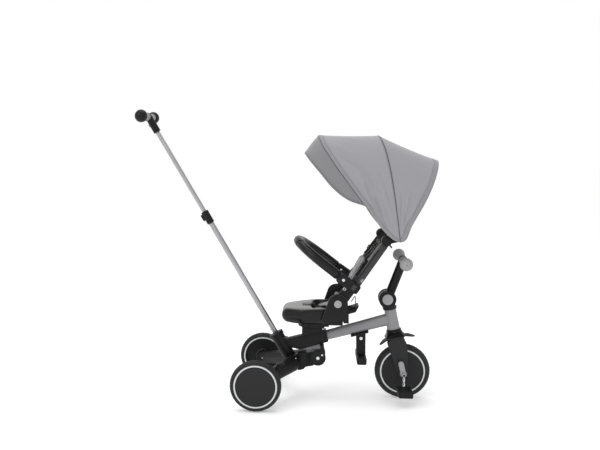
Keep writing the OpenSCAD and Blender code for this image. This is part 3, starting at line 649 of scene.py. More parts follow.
# Each cloth line: its top, then its offsets from the straight way up, at shares of that way
FOOT_MM = np.array([519.0, 622.0])
LINES = {
    "visor": ((171.0, 941.5), (
        (0.30, -16.0), (0.36, -12.0), (0.395, -8.0), (0.435, 1.5), (0.495, 13.5), (0.569, 20.5),
        (0.655, 22.0), (0.814, 13.0), (0.93, 6.0), (1.0, 0.0))),
    "front": ((222.5, 1008.0), (
        (0.0, 0.0), (0.018, 7.0), (0.045, 13.6), (0.092, 19.0), (0.153, 22.8), (0.247, 22.4), (0.35, 18.5),
        (0.40, 19.5), (0.59, 18.5), (0.79, 15.0), (0.93, 8.5), (1.0, 0.0))),
    "mid": ((445.0, 1005.5), (
        (0.0, 0.0), (0.2, -5.0), (0.45, -10.0), (0.71, -11.5), (0.9, -7.0), (1.0, 0.0))),
    "rear": ((661.5, 914.0), (
        (0.0, 0.0), (0.02, -8.0), (0.06, -13.5), (0.12, -13.0), (0.2, -10.0), (0.32, -11.5), (0.51, -15.0),
        (0.8, -11.0), (0.94, -4.0), (1.0, 0.0))),
}
CLOTH_HALF_W_MM = 163.8
VISOR_FROM, FRONT_FROM = 0.36, 0.35


def soft_curve(x, knots):
    """A smooth curve through (place, value) knots."""
    xs, ys = np.array([k[0] for k in knots]), np.array([k[1] for k in knots])
    slopes = np.gradient(ys, xs)
    i = np.clip(np.searchsorted(xs, x) - 1, 0, len(xs) - 2)
    w = xs[i + 1] - xs[i]
    t = np.clip((x - xs[i]) / w, 0, 1)
    return ((1 + 2 * t) * (1 - t) ** 2 * ys[i] + t * (1 - t) ** 2 * w * slopes[i]
            + t * t * (3 - 2 * t) * ys[i + 1] + t * t * (t - 1) * w * slopes[i + 1])


def cloth_line(name, sweep, start=0.0):
    """Rows of x, y, z in millimetres. sweep runs 0 to 1 from the right foot over the top to the left one."""
    first = math.asin(start ** 1.25) if start else 0.0
    turns = first + (math.pi - 2 * first) * sweep
    h = np.sin(turns) ** 0.8
    top = np.array(LINES[name][0]) - FOOT_MM
    along = top / np.linalg.norm(top)
    across = np.array([-along[1], along[0]])
    flat = FOOT_MM + h[:, None] * top + soft_curve(h, LINES[name][1])[:, None] * across
    y = -np.sign(np.cos(turns)) * CLOTH_HALF_W_MM * np.abs(np.cos(turns)) ** 0.5
    return np.stack([flat[:, 0], y, flat[:, 1]], axis=1)


def grid_normals(grid):
    du = np.gradient(grid, axis=0)
    dv = np.gradient(grid, axis=1)
    n = np.cross(du, dv)
    n /= np.maximum(np.linalg.norm(n, axis=2), 1e-9)[:, :, None]
    out = grid - np.array([470.0, 0.0, 760.0])
    return n * np.sign(np.sum(n * out, axis=2))[:, :, None]


def panel_grid(a, b, sag_mm, from_a=0.0, from_b=0.0, columns=25, folds=()):
    """A panel between two lines, hollowed by sag_mm, with soft folds (u, v, du, dv, width, height)."""
    sweep = 0.5 - 0.5 * np.cos(np.pi * np.linspace(0.006, 0.994, 161))
    low, high = cloth_line(a, sweep, from_a), cloth_line(b, sweep, from_b)
    us = np.linspace(0.0, 1.0, columns)
    grid = np.array([low * (1 - u) + high * u for u in us])
    normals = grid_normals(grid)
    v = np.minimum(sweep, 1 - sweep)[None, :] * 2
    u = us[:, None]
    edge = 4 * u * (1 - u)
    height = -sag_mm * edge * np.sin(np.pi * sweep)[None, :] ** 0.7
    for u0, v0, du, dv, width, tall in folds:
        length = math.hypot(du, dv)
        along = ((u - u0) * du + (v - v0) * dv) / length
        off = ((u - u0) * dv - (v - v0) * du) / length
        fade = np.clip(along / length, 0, 1)
        height = height + tall * np.exp(-(off / width) ** 2) * np.sin(np.pi * fade) * np.minimum(1, edge * 3)
    grid += normals * height[:, :, None]
    return grid


def cloth_piece(name, grid, material, slot, lift_mm=0.0, thickness_mm=1.2):
    if lift_mm:
        grid = grid + grid_normals(grid) * lift_mm
    columns, rows = grid.shape[:2]
    steps_v = np.linalg.norm(np.diff(grid, axis=1), axis=2)
    steps_u = np.linalg.norm(np.diff(grid, axis=0), axis=2)
    arc_v = np.concatenate([np.zeros((columns, 1)), np.cumsum(steps_v, axis=1)], axis=1).mean(axis=0) * MM
    arc_u = np.concatenate([[0], np.cumsum(steps_u[:, rows // 2])]) * MM
    uv = [(v, u) for u in arc_u for v in arc_v]
    shape = [at(*q) for row in grid for q in row], rings_to_faces(columns, rows, closed_columns=False)
    o = piece(name, shape, None, slot, material, uv)
    solid = o.modifiers.new("cloth", "SOLIDIFY")
    solid.thickness = thickness_mm * MM
    solid.offset = 0.0
    return o


def strip_along(grid, edge, width_mm, columns=5):
    """A strip of even width along one edge (0 or -1) of a panel's grid."""
    # Walk into the panel along each row until the width is used up
    order = grid if edge == 0 else grid[::-1]
    steps = np.linalg.norm(np.diff(order, axis=0), axis=2)
    arc = np.concatenate([np.zeros((1, grid.shape[1])), np.cumsum(steps, axis=0)])
    out = np.zeros((columns,) + grid[edge].shape)
    for c in range(columns):
        want = np.minimum(width_mm * c / (columns - 1), arc[-1] * 0.8)
        for j in range(grid.shape[1]):
            for axis in range(3):
                out[c, j, axis] = np.interp(want[j], arc[:, j], order[:, j, axis])
    return out if edge == 0 else out[::-1]


FRONT_FOLDS = ((0.10, 0.02, 0.32, 0.44, 0.030, 6.7), (0.28, 0.02, 0.24, 0.32, 0.028, -5.2),
               (0.50, 0.03, -0.06, 0.36, 0.028, 4.9), (0.12, 0.52, 0.48, -0.26, 0.032, 5.8),
               (0.08, 0.64, 0.50, -0.30, 0.028, -4.1), (0.10, 0.78, 0.42, -0.28, 0.030, 3.8),
               (0.80, 0.05, -0.12, 0.40, 0.028, 3.8), (0.35, 0.90, 0.30, -0.12, 0.03, 2.6))
REAR_FOLDS = ((0.45, 0.02, 0.05, 0.30, 0.030, 5.2), (0.75, 0.02, 0.05, 0.38, 0.028, 4.3),
              (0.22, 0.03, 0.03, 0.25, 0.026, -3.8), (0.30, 0.55, 0.40, -0.10, 0.04, 2.6))
front_grid = panel_grid("front", "mid", 2.5, folds=FRONT_FOLDS)
rear_grid = panel_grid("mid", "rear", 3.5, folds=REAR_FOLDS)
visor_grid = panel_grid("visor", "front", -2.0, VISOR_FROM, FRONT_FROM, columns=15)
PANELS = {
    "front": (cloth_piece("canopy_cloth_front", front_grid, MATERIALS["canopy_cloth"], "canopy_cloth"),
              "canopy_front_panel"),
    "rear": (cloth_piece("canopy_cloth_rear", rear_grid, MATERIALS["canopy_cloth"], "canopy_cloth"),
             "canopy_rear_panel"),
    "visor": (cloth_piece("canopy_cloth_visor", visor_grid, MATERIALS["visor_cloth"], "visor_cloth"),
              "canopy_visor"),
}


def follow(o, panel):
    """Bakes the transform of a piece on the front or rear panel into its mesh, and attaches a piece on the
    visor to the canopy_front body.
    """
    if panel == "front":
        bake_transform(o)
    elif panel == "rear":
        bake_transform(o)
    else:
        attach(o, "canopy_front")


BAND = woven("canopy_band", tuple(c * 0.86 for c in CLOTH), 1.1, rough=0.88)
# Painted shade: the visor's hem band is darkened along with the visor's cloth
VISOR_HEM_SHADED = woven("visor_hem_shaded", (0.19, 0.188, 0.2), 1.1, rough=0.88)
# A dark cord: painted shade in the canopy's seams, and a plain seam cord on the bumper
SEAM_CORD_AND_SHADE = woven("seam_cord_and_shade", (0.05, 0.05, 0.054), 0.8, "XZ", rough=0.9)


def line_piece(name, line_mm, radius_mm, material, panel, slot):
    o = rod(name, [at(*q) for q in line_mm], radius_mm, None, slot, material, 6)
    follow(o, panel)
    return o


def stitch_row(name, line_mm, panel, slot):
    o = piece(name, stitches([at(*q) for q in line_mm], 5.5, 3.6, 0.4), None, slot, THREAD)
    follow(o, panel)
    return o


trims = {"front": [], "rear": [], "visor": []}
HEMS = (("front", front_grid, 0, 15.0, BAND), ("rear", rear_grid, -1, 19.0, BAND),
        ("visor", visor_grid, 0, 7.0, VISOR_HEM_SHADED))
for panel, grid, edge, width, material in HEMS:
    band = strip_along(grid, edge, width)
    slot = "visor_cloth" if panel == "visor" else "canopy_cloth"
    o = cloth_piece("canopy_band_" + panel, band, material, slot, lift_mm=0.9, thickness_mm=1.0)
    follow(o, panel)
    trims[panel].append(o)
    raised = band + grid_normals(band) * 1.55
    inner = raised[-2] * 0.4 + raised[-1] * 0.6 if edge == 0 else raised[1] * 0.4 + raised[0] * 0.6
    trims[panel].append(stitch_row("canopy_stitch_" + panel, inner, panel, slot))
    trims[panel].append(line_piece("canopy_edge_" + panel, grid[edge], 1.35, material, panel, slot))
# A dark cord along the mid seam: painted shade in the seam's groove
lifted = rear_grid + grid_normals(rear_grid) * 0.7
trims["rear"].append(line_piece("canopy_mid_seam_shade", lifted[0], 1.0, SEAM_CORD_AND_SHADE, "rear", "canopy_cloth"))
near = strip_along(lifted, 0, 4.0, 2)[-1]
trims["rear"].append(stitch_row("canopy_stitch_mid", near, "rear", "canopy_cloth"))
near = strip_along(front_grid + grid_normals(front_grid) * 0.8, -1, 4.0, 2)[0]
trims["front"].append(stitch_row("canopy_stitch_mid_front", near, "front", "canopy_cloth"))
# Painted shadow: a dark line where the visor passes under the front panel's edge
under = strip_along(visor_grid, -1, 2.6, 2)[0]
trims["visor"].append(line_piece("canopy_visor_shadow_line", under, 1.2, SEAM_CORD_AND_SHADE, "visor", "visor_cloth"))
for panel, (o, node) in PANELS.items():
    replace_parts(o, node)
    width = {"front": 1.02, "rear": 0.98, "visor": 0.8}[panel]
    follow(o, panel)


# ---------- cushions ----------

def remeshed(name, node, material, voxel_mm, shrink=1.0, welded=False):
    """A copy of a CAD node's mesh, shrunk about its middle, with a voxel remesh waiting to be applied."""
    mesh = frame["nodes"][node].data.copy()
    mesh.name = name
    centre = middle(node)
    mesh.transform(Matrix.Translation(centre) @ Matrix.Scale(shrink, 4) @ Matrix.Translation(-centre))
    mesh.materials.clear()
    mesh.materials.append(material)
    o = placed(name, mesh)
    if welded:
        o.modifiers.new("weld", "WELD").merge_threshold = 1e-5
    remesh = o.modifiers.new("remesh", "REMESH")
    remesh.mode = "VOXEL"
    remesh.voxel_size = voxel_mm * MM
    return o


def cushion(name, node, body, material):
    """A stuffed pad: the CAD node's shape, blown up a little by a cloth simulation."""
    swell_mm = 5
    o = remeshed(name, node, material, 5.0, 0.95, welded=True)
    apply_all(o)
    rest = np.array([v.co for v in o.data.vertices])
    cloth = o.modifiers.new("cloth", "CLOTH")
    cloth.settings.use_pressure = True
    cloth.settings.uniform_pressure_force = 4.0
    cloth.settings.effector_weights.gravity = 0.0
    cloth.settings.quality = 5
    cloth.point_cache.frame_start, cloth.point_cache.frame_end = 1, 20
    for f in range(1, 21):
        bpy.context.scene.frame_set(f)
    apply_all(o)
    bpy.context.scene.frame_set(1)
    now = np.array([v.co for v in o.data.vertices])
    moved = now - rest
    length = np.linalg.norm(moved, axis=1)[:, None]
    moved *= np.minimum(1.0, swell_mm * MM / np.maximum(length, 1e-9))
    o.data.vertices.foreach_set("co", (rest + moved).astype(np.float32).ravel())
    smooth_faces(o.data)
    subsurf = o.modifiers.new("smooth", "SUBSURF")
    subsurf.levels = subsurf.render_levels = 1
    apply_all(o)
    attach(o, body)
    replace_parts(o, node)
    return o


def apply_all(o):
    """Makes what the modifiers show the object's own mesh."""
    evaluated = o.evaluated_get(bpy.context.evaluated_depsgraph_get())
    mesh = bpy.data.meshes.new_from_object(evaluated)
    materials = list(o.data.materials)
    o.modifiers.clear()
    o.data = mesh
    mesh.materials.clear()
    for m in materials:
        mesh.materials.append(m)


seat_cushion = cushion("seat_cushion", "seat_pad", "seat", MATERIALS["seat_cloth"])
low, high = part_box("seat_pad")
for v in seat_cushion.data.vertices:
    # Fuller towards the back, where the pad turns up against the backrest
    share = min(1.0, max(0.0, (v.co.x - low.x) / (high.x - low.x)))
    lift = max(0.0, (v.co.z - low.z) / (high.z - low.z))
    v.co.z += (2.0 + 7.0 * share) * MM * lift
back_cushion = cushion("back_cushion", "backrest_pad", "backrest", BACK_CLOTH)


def surface_of(o):
    mesh = o.data
    return BVHTree.FromPolygons([v.co.copy() for v in mesh.vertices],
                                [tuple(q.vertices) for q in mesh.polygons])


def cast(tree, start, direction, lift_mm=0.0):
    hit = tree.ray_cast(start, direction)[0]
    return None if hit is None else hit - direction * lift_mm * MM


def seam_loop(name, o, corners, direction, body, closed=True):
    """A sewn line laid on a cushion: corners are points in front of it, direction points at it."""
    tree = surface_of(o)
    ring = corners + corners[:1] if closed else corners
    path = []
    for a, b in zip(ring, ring[1:]):
        hits = [cast(tree, a.lerp(b, k / 14), direction, 0.15) for k in range(14)]
        path += [q for q in hits if q is not None]
    for _ in range(2):
        path = [path[0]] + [(path[k - 1] + path[k] * 2 + path[k + 1]) / 4
                            for k in range(1, len(path) - 1)] + [path[-1]]
    rod(name, path, 0.9, body, "seat_cloth", THREAD, 6)


def rounded_outline(u_mm, v_mm, corner_mm):
    """Corners of a rounded rectangle, u_mm and v_mm being its half sizes."""
    out, steps = [], 6
    for su, sv, first in ((1, 1, 0), (-1, 1, 90), (-1, -1, 180), (1, -1, 270)):
        for k in range(steps + 1):
            a = math.radians(first + 90 * k / steps)
            out.append(((u_mm - corner_mm) * su + corner_mm * math.cos(a),
                        (v_mm - corner_mm) * sv + corner_mm * math.sin(a)))
    return out


def piping(name, o, centre, u_axis, v_axis, body):
    """A corded edge round a cushion's widest line."""
    tree = surface_of(o)
    path = []
    for a in angles(72, closed=True):
        out = u_axis * math.cos(a) + v_axis * math.sin(a)
        q = cast(tree, centre + out * 0.4, -out)
        if q is not None:
            path.append(q)
    rod(name, path, 1.8, body, "seat_cloth", PIPING)


def moulded_seat():
    """The seat shell with the soft, flowing corners of a blow moulding."""
    o = remeshed("seat_moulding", "seat_shell", GLOSS_BLACK, 3.0)
    smooth = o.modifiers.new("smooth", "SMOOTH")
    smooth.factor, smooth.iterations = 0.7, 30
    apply_all(o)
    smooth_faces(o.data)
    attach(o, "seat")
    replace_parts(o, "seat_shell")


moulded_seat()
for v in back_cushion.data.vertices:
    # Thin at the foot and fuller towards the top
    away = v.co - back(0, 0, 0)
    depth, up = away.dot(BACK_IN), away.dot(BACK_UP) / MM
    if depth < 0:
        full = np.interp(up, (50, 90, 158, 193, 204), (0.20, 0.35, 0.72, 0.85, 0.75))
        v.co -= BACK_IN * depth * (1 - float(full))
seat_mid = middle("seat_pad")


def over_seat(u, v):
    return seat_mid + X * u * MM + Y * v * MM + Z * 0.1


seam_loop("seat_seam", seat_cushion, [over_seat(u, v) for u, v in rounded_outline(34, 44, 16)], -Z, "seat")
for k, u in enumerate((-14, 8)):
    seam_loop("seat_channel_%d" % (k + 1), seat_cushion, [over_seat(u, v) for v in (-42, -20, 0, 20, 42)], -Z,
              "seat", False)
piping("seat_piping", seat_cushion, seat_mid, X, Y, "seat")
seam_loop("back_seam", back_cushion, [back(-60, u, 119 + v) for u, v in rounded_outline(54, 64, 22)],
          BACK_IN, "backrest")
for k, z in enumerate((92, 120, 148)):
    seam_loop("back_channel_%d" % (k + 1), back_cushion, [back(-60, u, z) for u in (-53, -25, 0, 25, 53)],
              BACK_IN, "backrest", False)
piping("back_piping", back_cushion, back(-8.5, 0, 119), BACK_UP, Y, "backrest")


# ---------- harness ----------

def strap(name, path, half_w, thickness_mm, body, steps=10, material=None, slot="webbing"):
    """Webbing along a path of points, half_w being half its width as a Vector."""
    piece(name, ribbon_mesh(smooth_path(path, steps), half_w, thickness_mm * MM), body, slot, material)


def slider(name, centre, u_axis, v_axis, half_u_mm, half_v_mm, thick_mm, body):
    """A three-bar strap adjuster: two windows in a rounded plate."""
    n = u_axis.cross(v_axis).normalized()
    reach_u, reach_v = u_axis * half_u_mm * MM, v_axis * half_v_mm * MM
    bars = [(centre + v_axis * v * (half_v_mm - 1.2) * MM, reach_u, 1.5) for v in (-1, 0, 1)]
    bars += [(centre + reach_u * u, reach_v, 1.7) for u in SIDES]
    piece(name, joined([tube_mesh([mid - reach, mid, mid + reach], r * MM, 8, squash=(n, thick_mm / 3))
                        for mid, reach, r in bars]), body, "buckle_black")


seat_tree = surface_of(seat_cushion)


def on_seat(x, y, z, lift_mm):
    """A point on the seat pad, or at height z where the pad has ended."""
    hit = cast(seat_tree, at(x, y, 460), -Z, lift_mm)
    return hit if hit is not None and hit.z > z * MM else at(x, y, z)


for side, tag in NAMED_SIDES:
    # Over the top crossbar, down the shell and in behind the pad
    upper = [back(14 + 10 * math.cos(a), side * 36, 268 + 10 * math.sin(a))
             for a in (math.radians(t) for t in (50, 80, 110, 140, 165, 180))]
    upper += [back(x, side * 36, z) for x, z in ((3.4, 252), (1.5, 232), (-1, 212), (-4, 200), (-6, 188))]
    strap("shoulder_strap_" + tag, upper, Y * 12 * MM, 1.6, "backrest", 6)
    slider("shoulder_slider_" + tag, back(0.2, side * 36, 238), Y, BACK_UP, 15, 10, 2.4, "backrest")
    waist = [on_seat(x, side * y, z, 1.2) for x, y, z in ((280, 74, 357), (262, 60, 357), (246, 46, 356),
                                                          (232, 32, 355), (220, 20, 355))]
    strap("waist_strap_" + tag, [at(296, side * 84, 350)] + waist + [at(208, side * 11, 361)],
          (Z * 0.3 + X * 0.95).normalized() * 10 * MM, 1.5, "seat")
    across, along = (Y * 0.75 - X * 0.66 * side).normalized(), (X * 0.75 + Y * 0.66 * side).normalized()
    slider("waist_slider_" + tag, on_seat(246, side * 46, 357, 3.0), across, along, 12, 9, 2.2, "seat")
    # Canopy tie on the inner face of each arm, with its adjuster
    tie = [back(x, side * y, z) for x, y, z in ((4, 106, 196), (6, 106.6, 214), (7, 106, 236), (7, 106, 258),
                                                (8, 106, 274))]
    strap("canopy_tie_" + tag, tie, BACK_IN * 9.5 * MM, 1.5, "backrest", 8, TIE_WEB if side < 0 else None)
    slider("tie_slider_" + tag, back(6.5, side * 104.4, 226), BACK_IN, BACK_UP, 12, 9, 2.4, "backrest")
    # Dark edging along each arm, ended by a pale rod that is a painted highlight on the arm's edge
    y = side * 138.1
    strap("arm_edging_" + tag, [back(4.2, y, z) for z in (106, 140, 180, 220, 252)], BACK_IN * 3.4 * MM, 0.7,
          "backrest", 4, slot="buckle_black")
    rod("arm_highlight_rod_" + tag, [back(7.9, y, z) for z in (106, 180, 252)], 0.7, "backrest", "moulded_black",
        MATERIALS["button_graphite"])
    outline = rounded_outline(4.2, 7.0, 2.2)
    points = [back(20 + u * k, side * w, 125 + v * k) for w, k in ((137.6, 1.0), (138.6, 1.0), (139.2, 0.86))
              for u, v in outline]
    piece("arm_tab_" + tag, (points, closed_tube(3, len(outline))), "backrest", "trim_grey",
          MATERIALS["frame_paint"])
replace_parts(bpy.data.objects["shoulder_strap_left"], "shoulder_straps")
strap("crotch_strap", [at(228, 0, 350), on_seat(220, 0, 356, 1.0), at(210, 0, 361.5), at(199, 0, 361.2)],
      Y * 12 * MM, 1.6, "seat")
for k, u in enumerate((0, 9, -9)):
    top = 359.2 + 0.105 * u
    rib = [at(186 + u, y, z) for y, z in ((-9, top), (0, top + 0.4), (9, top))]
    rod("buckle_rib_%d" % (k + 1), rib, 1.1, "seat", "button_graphite")
# Cord loop at the swivel lock's pull
loop_mm = [(349, 390), (353, 397), (361, 409), (365, 404), (365, 393), (364.5, 379), (362, 368)]
rod("tether_loop", smooth_path([at(x, -101.5, z) for x, z in loop_mm], 8), 1.7, "seat", "webbing")
# A pale rod along the front of each side bracket: a painted highlight on its edge
for side, tag in NAMED_SIDES:
    edge = [(238.2, 316), (249.6, 350), (261.0, 383)]
    edge += [(299 + 36.2 * math.cos(a), 383 + 36.2 * math.sin(a))
             for a in map(math.radians, range(172, 20, -8))]
    rod("bracket_highlight_rod_" + tag, [at(x, side * 120.6, z) for x, z in edge], 0.9, "seat", "moulded_black",
        MATERIALS["button_graphite"])


# ---------- safety bar ----------

def bumper_skin():
    path = [bumper(x, 126, 0) for x in (-27, -45, -66)]
    path += [bumper(-87 - 126 * math.sin(a), 126 * math.cos(a), 0) for a in angles(128)[:65]]
    path += [bumper(x, -126, 0) for x in (-66, -45, -27)]
    skin_r = 17.7
    o = rod("bumper_skin", path, skin_r, "bumper", "bumper_skin", sides=36)
    # The zipped seam along the inside of the bend, with a row of stitches on each side
    flat = (bumper(0, 0, 1) - bumper(0, 0, 0)).normalized()
    for tag, turn in (("seam", 0.0), ("stitch_a", 0.24), ("stitch_b", -0.24)):
        line = []
        for k, q in enumerate(path):
            t = (path[min(k + 1, len(path) - 1)] - path[max(k - 1, 0)]).normalized()
            inwards = flat.cross(t).normalized()
            if inwards.dot(bumper(-60, 0, 0) - q) < 0:
                inwards = -inwards
            line.append(q + (inwards * math.cos(turn) + flat * math.sin(turn)) * (skin_r + 0.15) * MM)
        if tag == "seam":
            rod("bumper_seam", line, 0.9, "bumper", "bumper_skin", SEAM_CORD_AND_SHADE, 6)
        else:
            piece("bumper_" + tag, stitches(line, 6.0, 3.8, 0.45), "bumper", "bumper_skin", THREAD)
    # On each side, the collar where the skin ends and the root block that it sits on
    collar = ((-24.5, 15.5), (-25.5, 17.2), (-29, 18.0), (-33, 18.0), (-35, 17.4), (-35, 15.0))
    root = [(-31, -14), (0, -14)]
    root += [(15 * math.cos(a), 15 * math.sin(a)) for a in (math.pi * (k / 12 - 0.5) for k in range(13))]
    root += [(0, 14), (-31, 14)]
    parts = []
    for side in SIDES:
        points = [bumper(x, side * 126 + r * math.cos(a), r * math.sin(a))
                  for a in angles(36) for x, r in collar]
        parts.append((points, rings_to_faces(36, len(collar), closed_rows=True)))
        points = []
        for y, inset in ((116.2, 1.2), (117.2, 0.2), (134.8, 0.2), (135.8, 1.2)):
            for x, z in root:
                share = 1 - inset / math.hypot(x, z)
                points.append(bumper(x * share, side * y, z * share))
        parts.append((points, closed_tube(4, len(root))))
    piece("bumper_roots", joined(parts), "bumper", "moulded_black")
    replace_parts(o, "bumper_bar")


bumper_skin()


def surface_at(node, start, direction):
    """Where a line from start meets a carried-over CAD node."""
    hit = cast(surface_of(frame["nodes"][node]), start, direction)
    return start if hit is None else hit


def rivet(name, centre, radius_mm, height_mm, side, body, slot="plated_steel"):
    piece(name, button(centre, radius_mm, height_mm, side), body, slot)


for side, tag in NAMED_SIDES:
    rivet("bumper_pin_outer_" + tag, bumper(0, side * 142.4, 0), 5.6, 1.8, side, "backrest")
    rivet("bumper_pin_inner_" + tag, bumper(0, side * 111.2, 0), 4.6, 1.4, -side, "backrest")
    rivet("bumper_plug_" + tag, back(-49, side * 142.4, 78), 3.0, 0.8, side, "backrest", "button_graphite")
    hook = [back(-11 + 4.6 * math.cos(a), side * 112.3, 60 + 4.6 * math.sin(a)) for a in angles(40, True)]
    rod("recline_hook_" + tag, hook, 1.7, "backrest", "plated_steel")
    rivet("swivel_pin_" + tag, at(245.5, side * 30, 268), 2.6, 1.4, side, "frame")
    rivet("grip_screw_" + tag, at(545, side * 163.6, 537), 1.9, 0.6, side, "handlebar", "button_graphite")
    leg = surface_at("rear_axles", at(0, side * 60, 95), Y * side)
    rivet("leg_bolt_" + tag, leg, 7.5, 3.0, -side, "rear_frame")
    rivet("leg_top_pin_" + tag, at(143, side * 67.0, 160), 2.2, 1.2, side, "rear_frame")
    hub = middle("rear_rim_" + tag)
    washer = lathe([(12.6, 0), (19.5, 0), (20.3, 0.8), (19.5, 1.6), (12.6, 1.6)],
                   Vector((hub.x, side * 0.2100, hub.z)), 64)
    piece("hub_washer_" + tag, washer, "rear_wheel_" + tag, "plated_steel")


# ---------- mudguard, crank and wheel backs ----------

def mudguard_skin():
    """A curved guard over the tyre: a raised ridge, rolled sides, and ends that thin to rounded points."""
    points, rows, across = [], 61, 21
    for k in range(rows):
        t = k / (rows - 1)
        a = math.radians(72.6 + 65.0 * t)
        end = min(1.0, min(t, 1 - t) / 0.16)
        half = 26.4 * math.sqrt(max(0.02, 1 - (1 - end) ** 2.2))
        thick = 1.0 + 3.4 * end
        flare = 2.6 * max(0.0, (0.25 - t) / 0.25) ** 1.5
        outer, inner = [], []
        for w in np.linspace(-1.0, 1.0, across):
            r = 131.6 - 3.0 * w * w + 1.2 * math.exp(-(w / 0.13) ** 2) * end - 1.8 * (1 - end) + flare
            for face, depth in ((outer, 0.0), (inner, thick * (1 - 0.55 * abs(w) ** 3))):
                face.append(at(558 + (r - depth) * math.cos(a), half * w, 118 + (r - depth) * math.sin(a)))
        points += outer + inner[::-1]
    skin = piece("mudguard_skin", (points, closed_tube(rows, 2 * across)), "fork", "moulded_black")
    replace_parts(skin, "mudguard")


mudguard_skin()


def crown_point(rx, ry, z, a):
    """A point round the fork's collar, which is round at its top and flat-sided at its foot."""
    power = 2 / float(np.interp(-z, (84, 102), (2.0, 5.0)))
    u, v = math.cos(a), math.sin(a)
    return head(math.copysign(abs(u) ** power * rx, u), math.copysign(abs(v) ** power * ry, v), z)


def crown_skin():
    """The fork's flared collar: a polished moulding with a rolled lip."""
    rings = ((-78.7, 27.2, 27.4), (-79.6, 27.9, 28.3), (-82.5, 28.0, 29.2), (-85.5, 28.6, 32.6),
             (-88.5, 29.4, 36.9), (-95.5, 32.0, 41.8), (-102.5, 35.6, 44.1), (-106.0, 37.8, 45.3),
             (-108.2, 37.6, 45.0), (-109.4, 36.0, 43.6), (-110.2, 33.0, 40.5), (-108.0, 32.0, 40.0),
             (-96.0, 28.0, 36.0), (-86.0, 25.0, 27.0))
    points = [crown_point(rx, ry, z, a) for a in angles(96) for z, rx, ry in rings]
    faces = rings_to_faces(96, len(rings), closed_rows=True)
    piece("fork_crown_skin", (points, faces), "fork", "moulded_black", CROWN_BLACK)
    # The pale ring at the lip is a painted highlight on the rolled lip; the top bead is a second pale ring
    # near the collar's top
    for tag, z, r, rx, ry in (("lip", -106.6, 1.1, 37.6, 45.2), ("top_bead", -84.0, 0.8, 28.4, 31.0)):
        ring = [crown_point(rx, ry, z, a) for a in angles(96, closed=True)]
        rod("fork_crown_" + tag, ring, r, "fork", "moulded_black", MATERIALS["button_graphite"])


crown_skin()


def crank_skin():
    """A square steel bar twisted along its arms, bent out to each pedal."""
    hub_x, hub_z, arm_mm, rows, sides = 551.0, 105.5, 54.0, 50, 16
    parts = []
    for side in SIDES:
        def place(y, drop):
            return at(hub_x, side * y, hub_z + side * drop)
        points = []
        for k, q in enumerate(place(70.0, d) for d in np.linspace(0.0, arm_mm, rows)):
            for a in angles(sides):
                twist = a + k / (rows - 1) * math.pi * 3.0
                r = (3.7 + 1.2 * math.cos(2 * twist)) * MM
                points.append(q + Vector((r * math.cos(a), r * math.sin(a), 0)))
        parts.append((points, closed_tube(rows, sides)))
        for ys, drop, r in (((0, 30, 62, 68, 70), 0.0, 5.8), ((69, 72, 90, 120, 144), arm_mm, 5.2),
                            ((64, 65, 70, 75, 76), 0.0, 6.2), ((64, 65, 70, 75, 76), arm_mm, 6.0)):
            parts.append(tube_mesh([place(y, drop) for y in ys], r * MM, 20))
    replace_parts(piece("crank_skin", joined(parts), "front_wheel", "plated_steel"), "crank_axle")
    for side, tag in NAMED_SIDES:
        cap = at(hub_x, side * 76.0, hub_z)
        rivet("crank_cap_" + tag, cap, 4.6, 1.0, side, "front_wheel", "button_graphite")


crank_skin()
for side, tag in NAMED_SIDES:
    hub = middle("rear_rim_" + tag)
    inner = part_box("rear_rim_" + tag)[0 if side > 0 else 1].y
    lip = ((33.0, 0.1), (34.0, 1.0), (36.0, 1.5), (38.0, 1.0), (39.0, 0.1))
    # A flat dark ring inside each rear disc: painted shade standing in for the hollow round the hub
    hollow_shade_ring = ((19.0, 0.1), (32.6, 0.1), (32.6, 0.5), (19.0, 0.5))
    for name, profile, look in (("wheel_hollow_shade_lip_", lip, "handlebar_black"),
                                ("wheel_hollow_shade_", hollow_shade_ring, "tyre_black")):
        ring = lathe([(r, -side * t) for r, t in profile], Vector((hub.x, inner, hub.z)))
        piece(name + tag, ring, "rear_wheel_" + tag, "moulded_black", MATERIALS[look])


# ---------- stage ----------

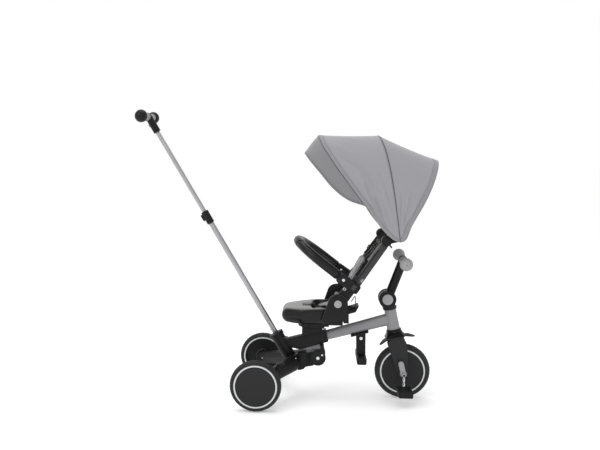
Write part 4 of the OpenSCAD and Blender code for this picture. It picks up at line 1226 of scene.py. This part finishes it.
def floor_and_backdrop():
    g = Graph("studio_floor")
    where = g.coords()
    cloud = g.noise(where, 0.6, 2)
    g.set(Base_Color=g.mix(cloud, (0.975, 0.975, 0.975, 1), (1.0, 1.0, 1.0, 1)),
          Roughness=g.ramp(g.noise(where, 9, 3), 0.3, 0.7, 0.8, 0.9), Specular_IOR_Level=0.0,
          Emission_Color=(1, 1, 1, 1), Emission_Strength=0.21)
    size = 30.0
    mesh = bpy.data.meshes.new("floor")
    corner_signs = ((-1, -1), (1, -1), (1, 1), (-1, 1))
    mesh.from_pydata([(u * size, v * size, 0) for u, v in corner_signs], [], [(0, 1, 2, 3)])
    mesh.materials.append(g.material)
    placed("floor", mesh)


def area_light(name, place, target, size, power):
    data = bpy.data.lights.new(name, "AREA")
    data.shape = "SQUARE"
    data.size = size
    data.energy = power
    o = placed(name, data)
    o.location = place
    o.rotation_mode = "QUATERNION"
    o.rotation_quaternion = (Vector(target) - Vector(place)).to_track_quat("-Z", "Y")


def studio():
    """Even white light all round, with soft panels overhead and at the front for the highlights."""
    bpy.context.scene.view_settings.view_transform = "Standard"
    world = bpy.data.worlds.new("studio")
    bpy.context.scene.world = world
    world.use_nodes = True
    background = world.node_tree.nodes["Background"]
    background.inputs["Strength"].default_value = 1.0
    # White round the horizon, dimmer above, so the overhead panels model the shapes
    nodes, links = world.node_tree.nodes, world.node_tree.links
    where = nodes.new("ShaderNodeTexCoord")
    height = nodes.new("ShaderNodeSeparateXYZ")
    fade = nodes.new("ShaderNodeMapRange")
    for socket, number in zip(("From Min", "From Max", "To Min", "To Max"), (0.42, 0.62, 1.0, 0.72)):
        fade.inputs[socket].default_value = number
    links.new(where.outputs["Generated"], height.inputs[0])
    links.new(height.outputs[2], fade.inputs["Value"])
    links.new(fade.outputs[0], background.inputs["Color"])
    middle_of = (cad_box[0] + cad_box[1]) / 2
    area_light("overhead", (-0.2, 0.2, 3.2), middle_of, 2.4, 34)
    area_light("key", (-2.0, -2.2, 2.4), middle_of, 1.3, 20)


def camera():
    """The viewing angle: almost square to the right side, a little above, 5 degrees towards the back."""
    turn, down = math.radians(5.213), math.radians(5.512)
    data = bpy.data.cameras.new("camera")
    data.lens = 48.68
    data.sensor_width = 36.0
    data.shift_x = 0.0962
    o = placed("camera", data)
    o.location = at(215.2, -3110.9, 965.1)
    looks = Vector((-math.sin(turn) * math.cos(down), math.cos(turn) * math.cos(down), -math.sin(down)))
    o.rotation_mode = "QUATERNION"
    o.rotation_quaternion = looks.to_track_quat("-Z", "Y")
    bpy.context.scene.camera = o


floor_and_backdrop()
studio()
camera()


def corners(box):
    return [list(box[0]), list(box[1])]
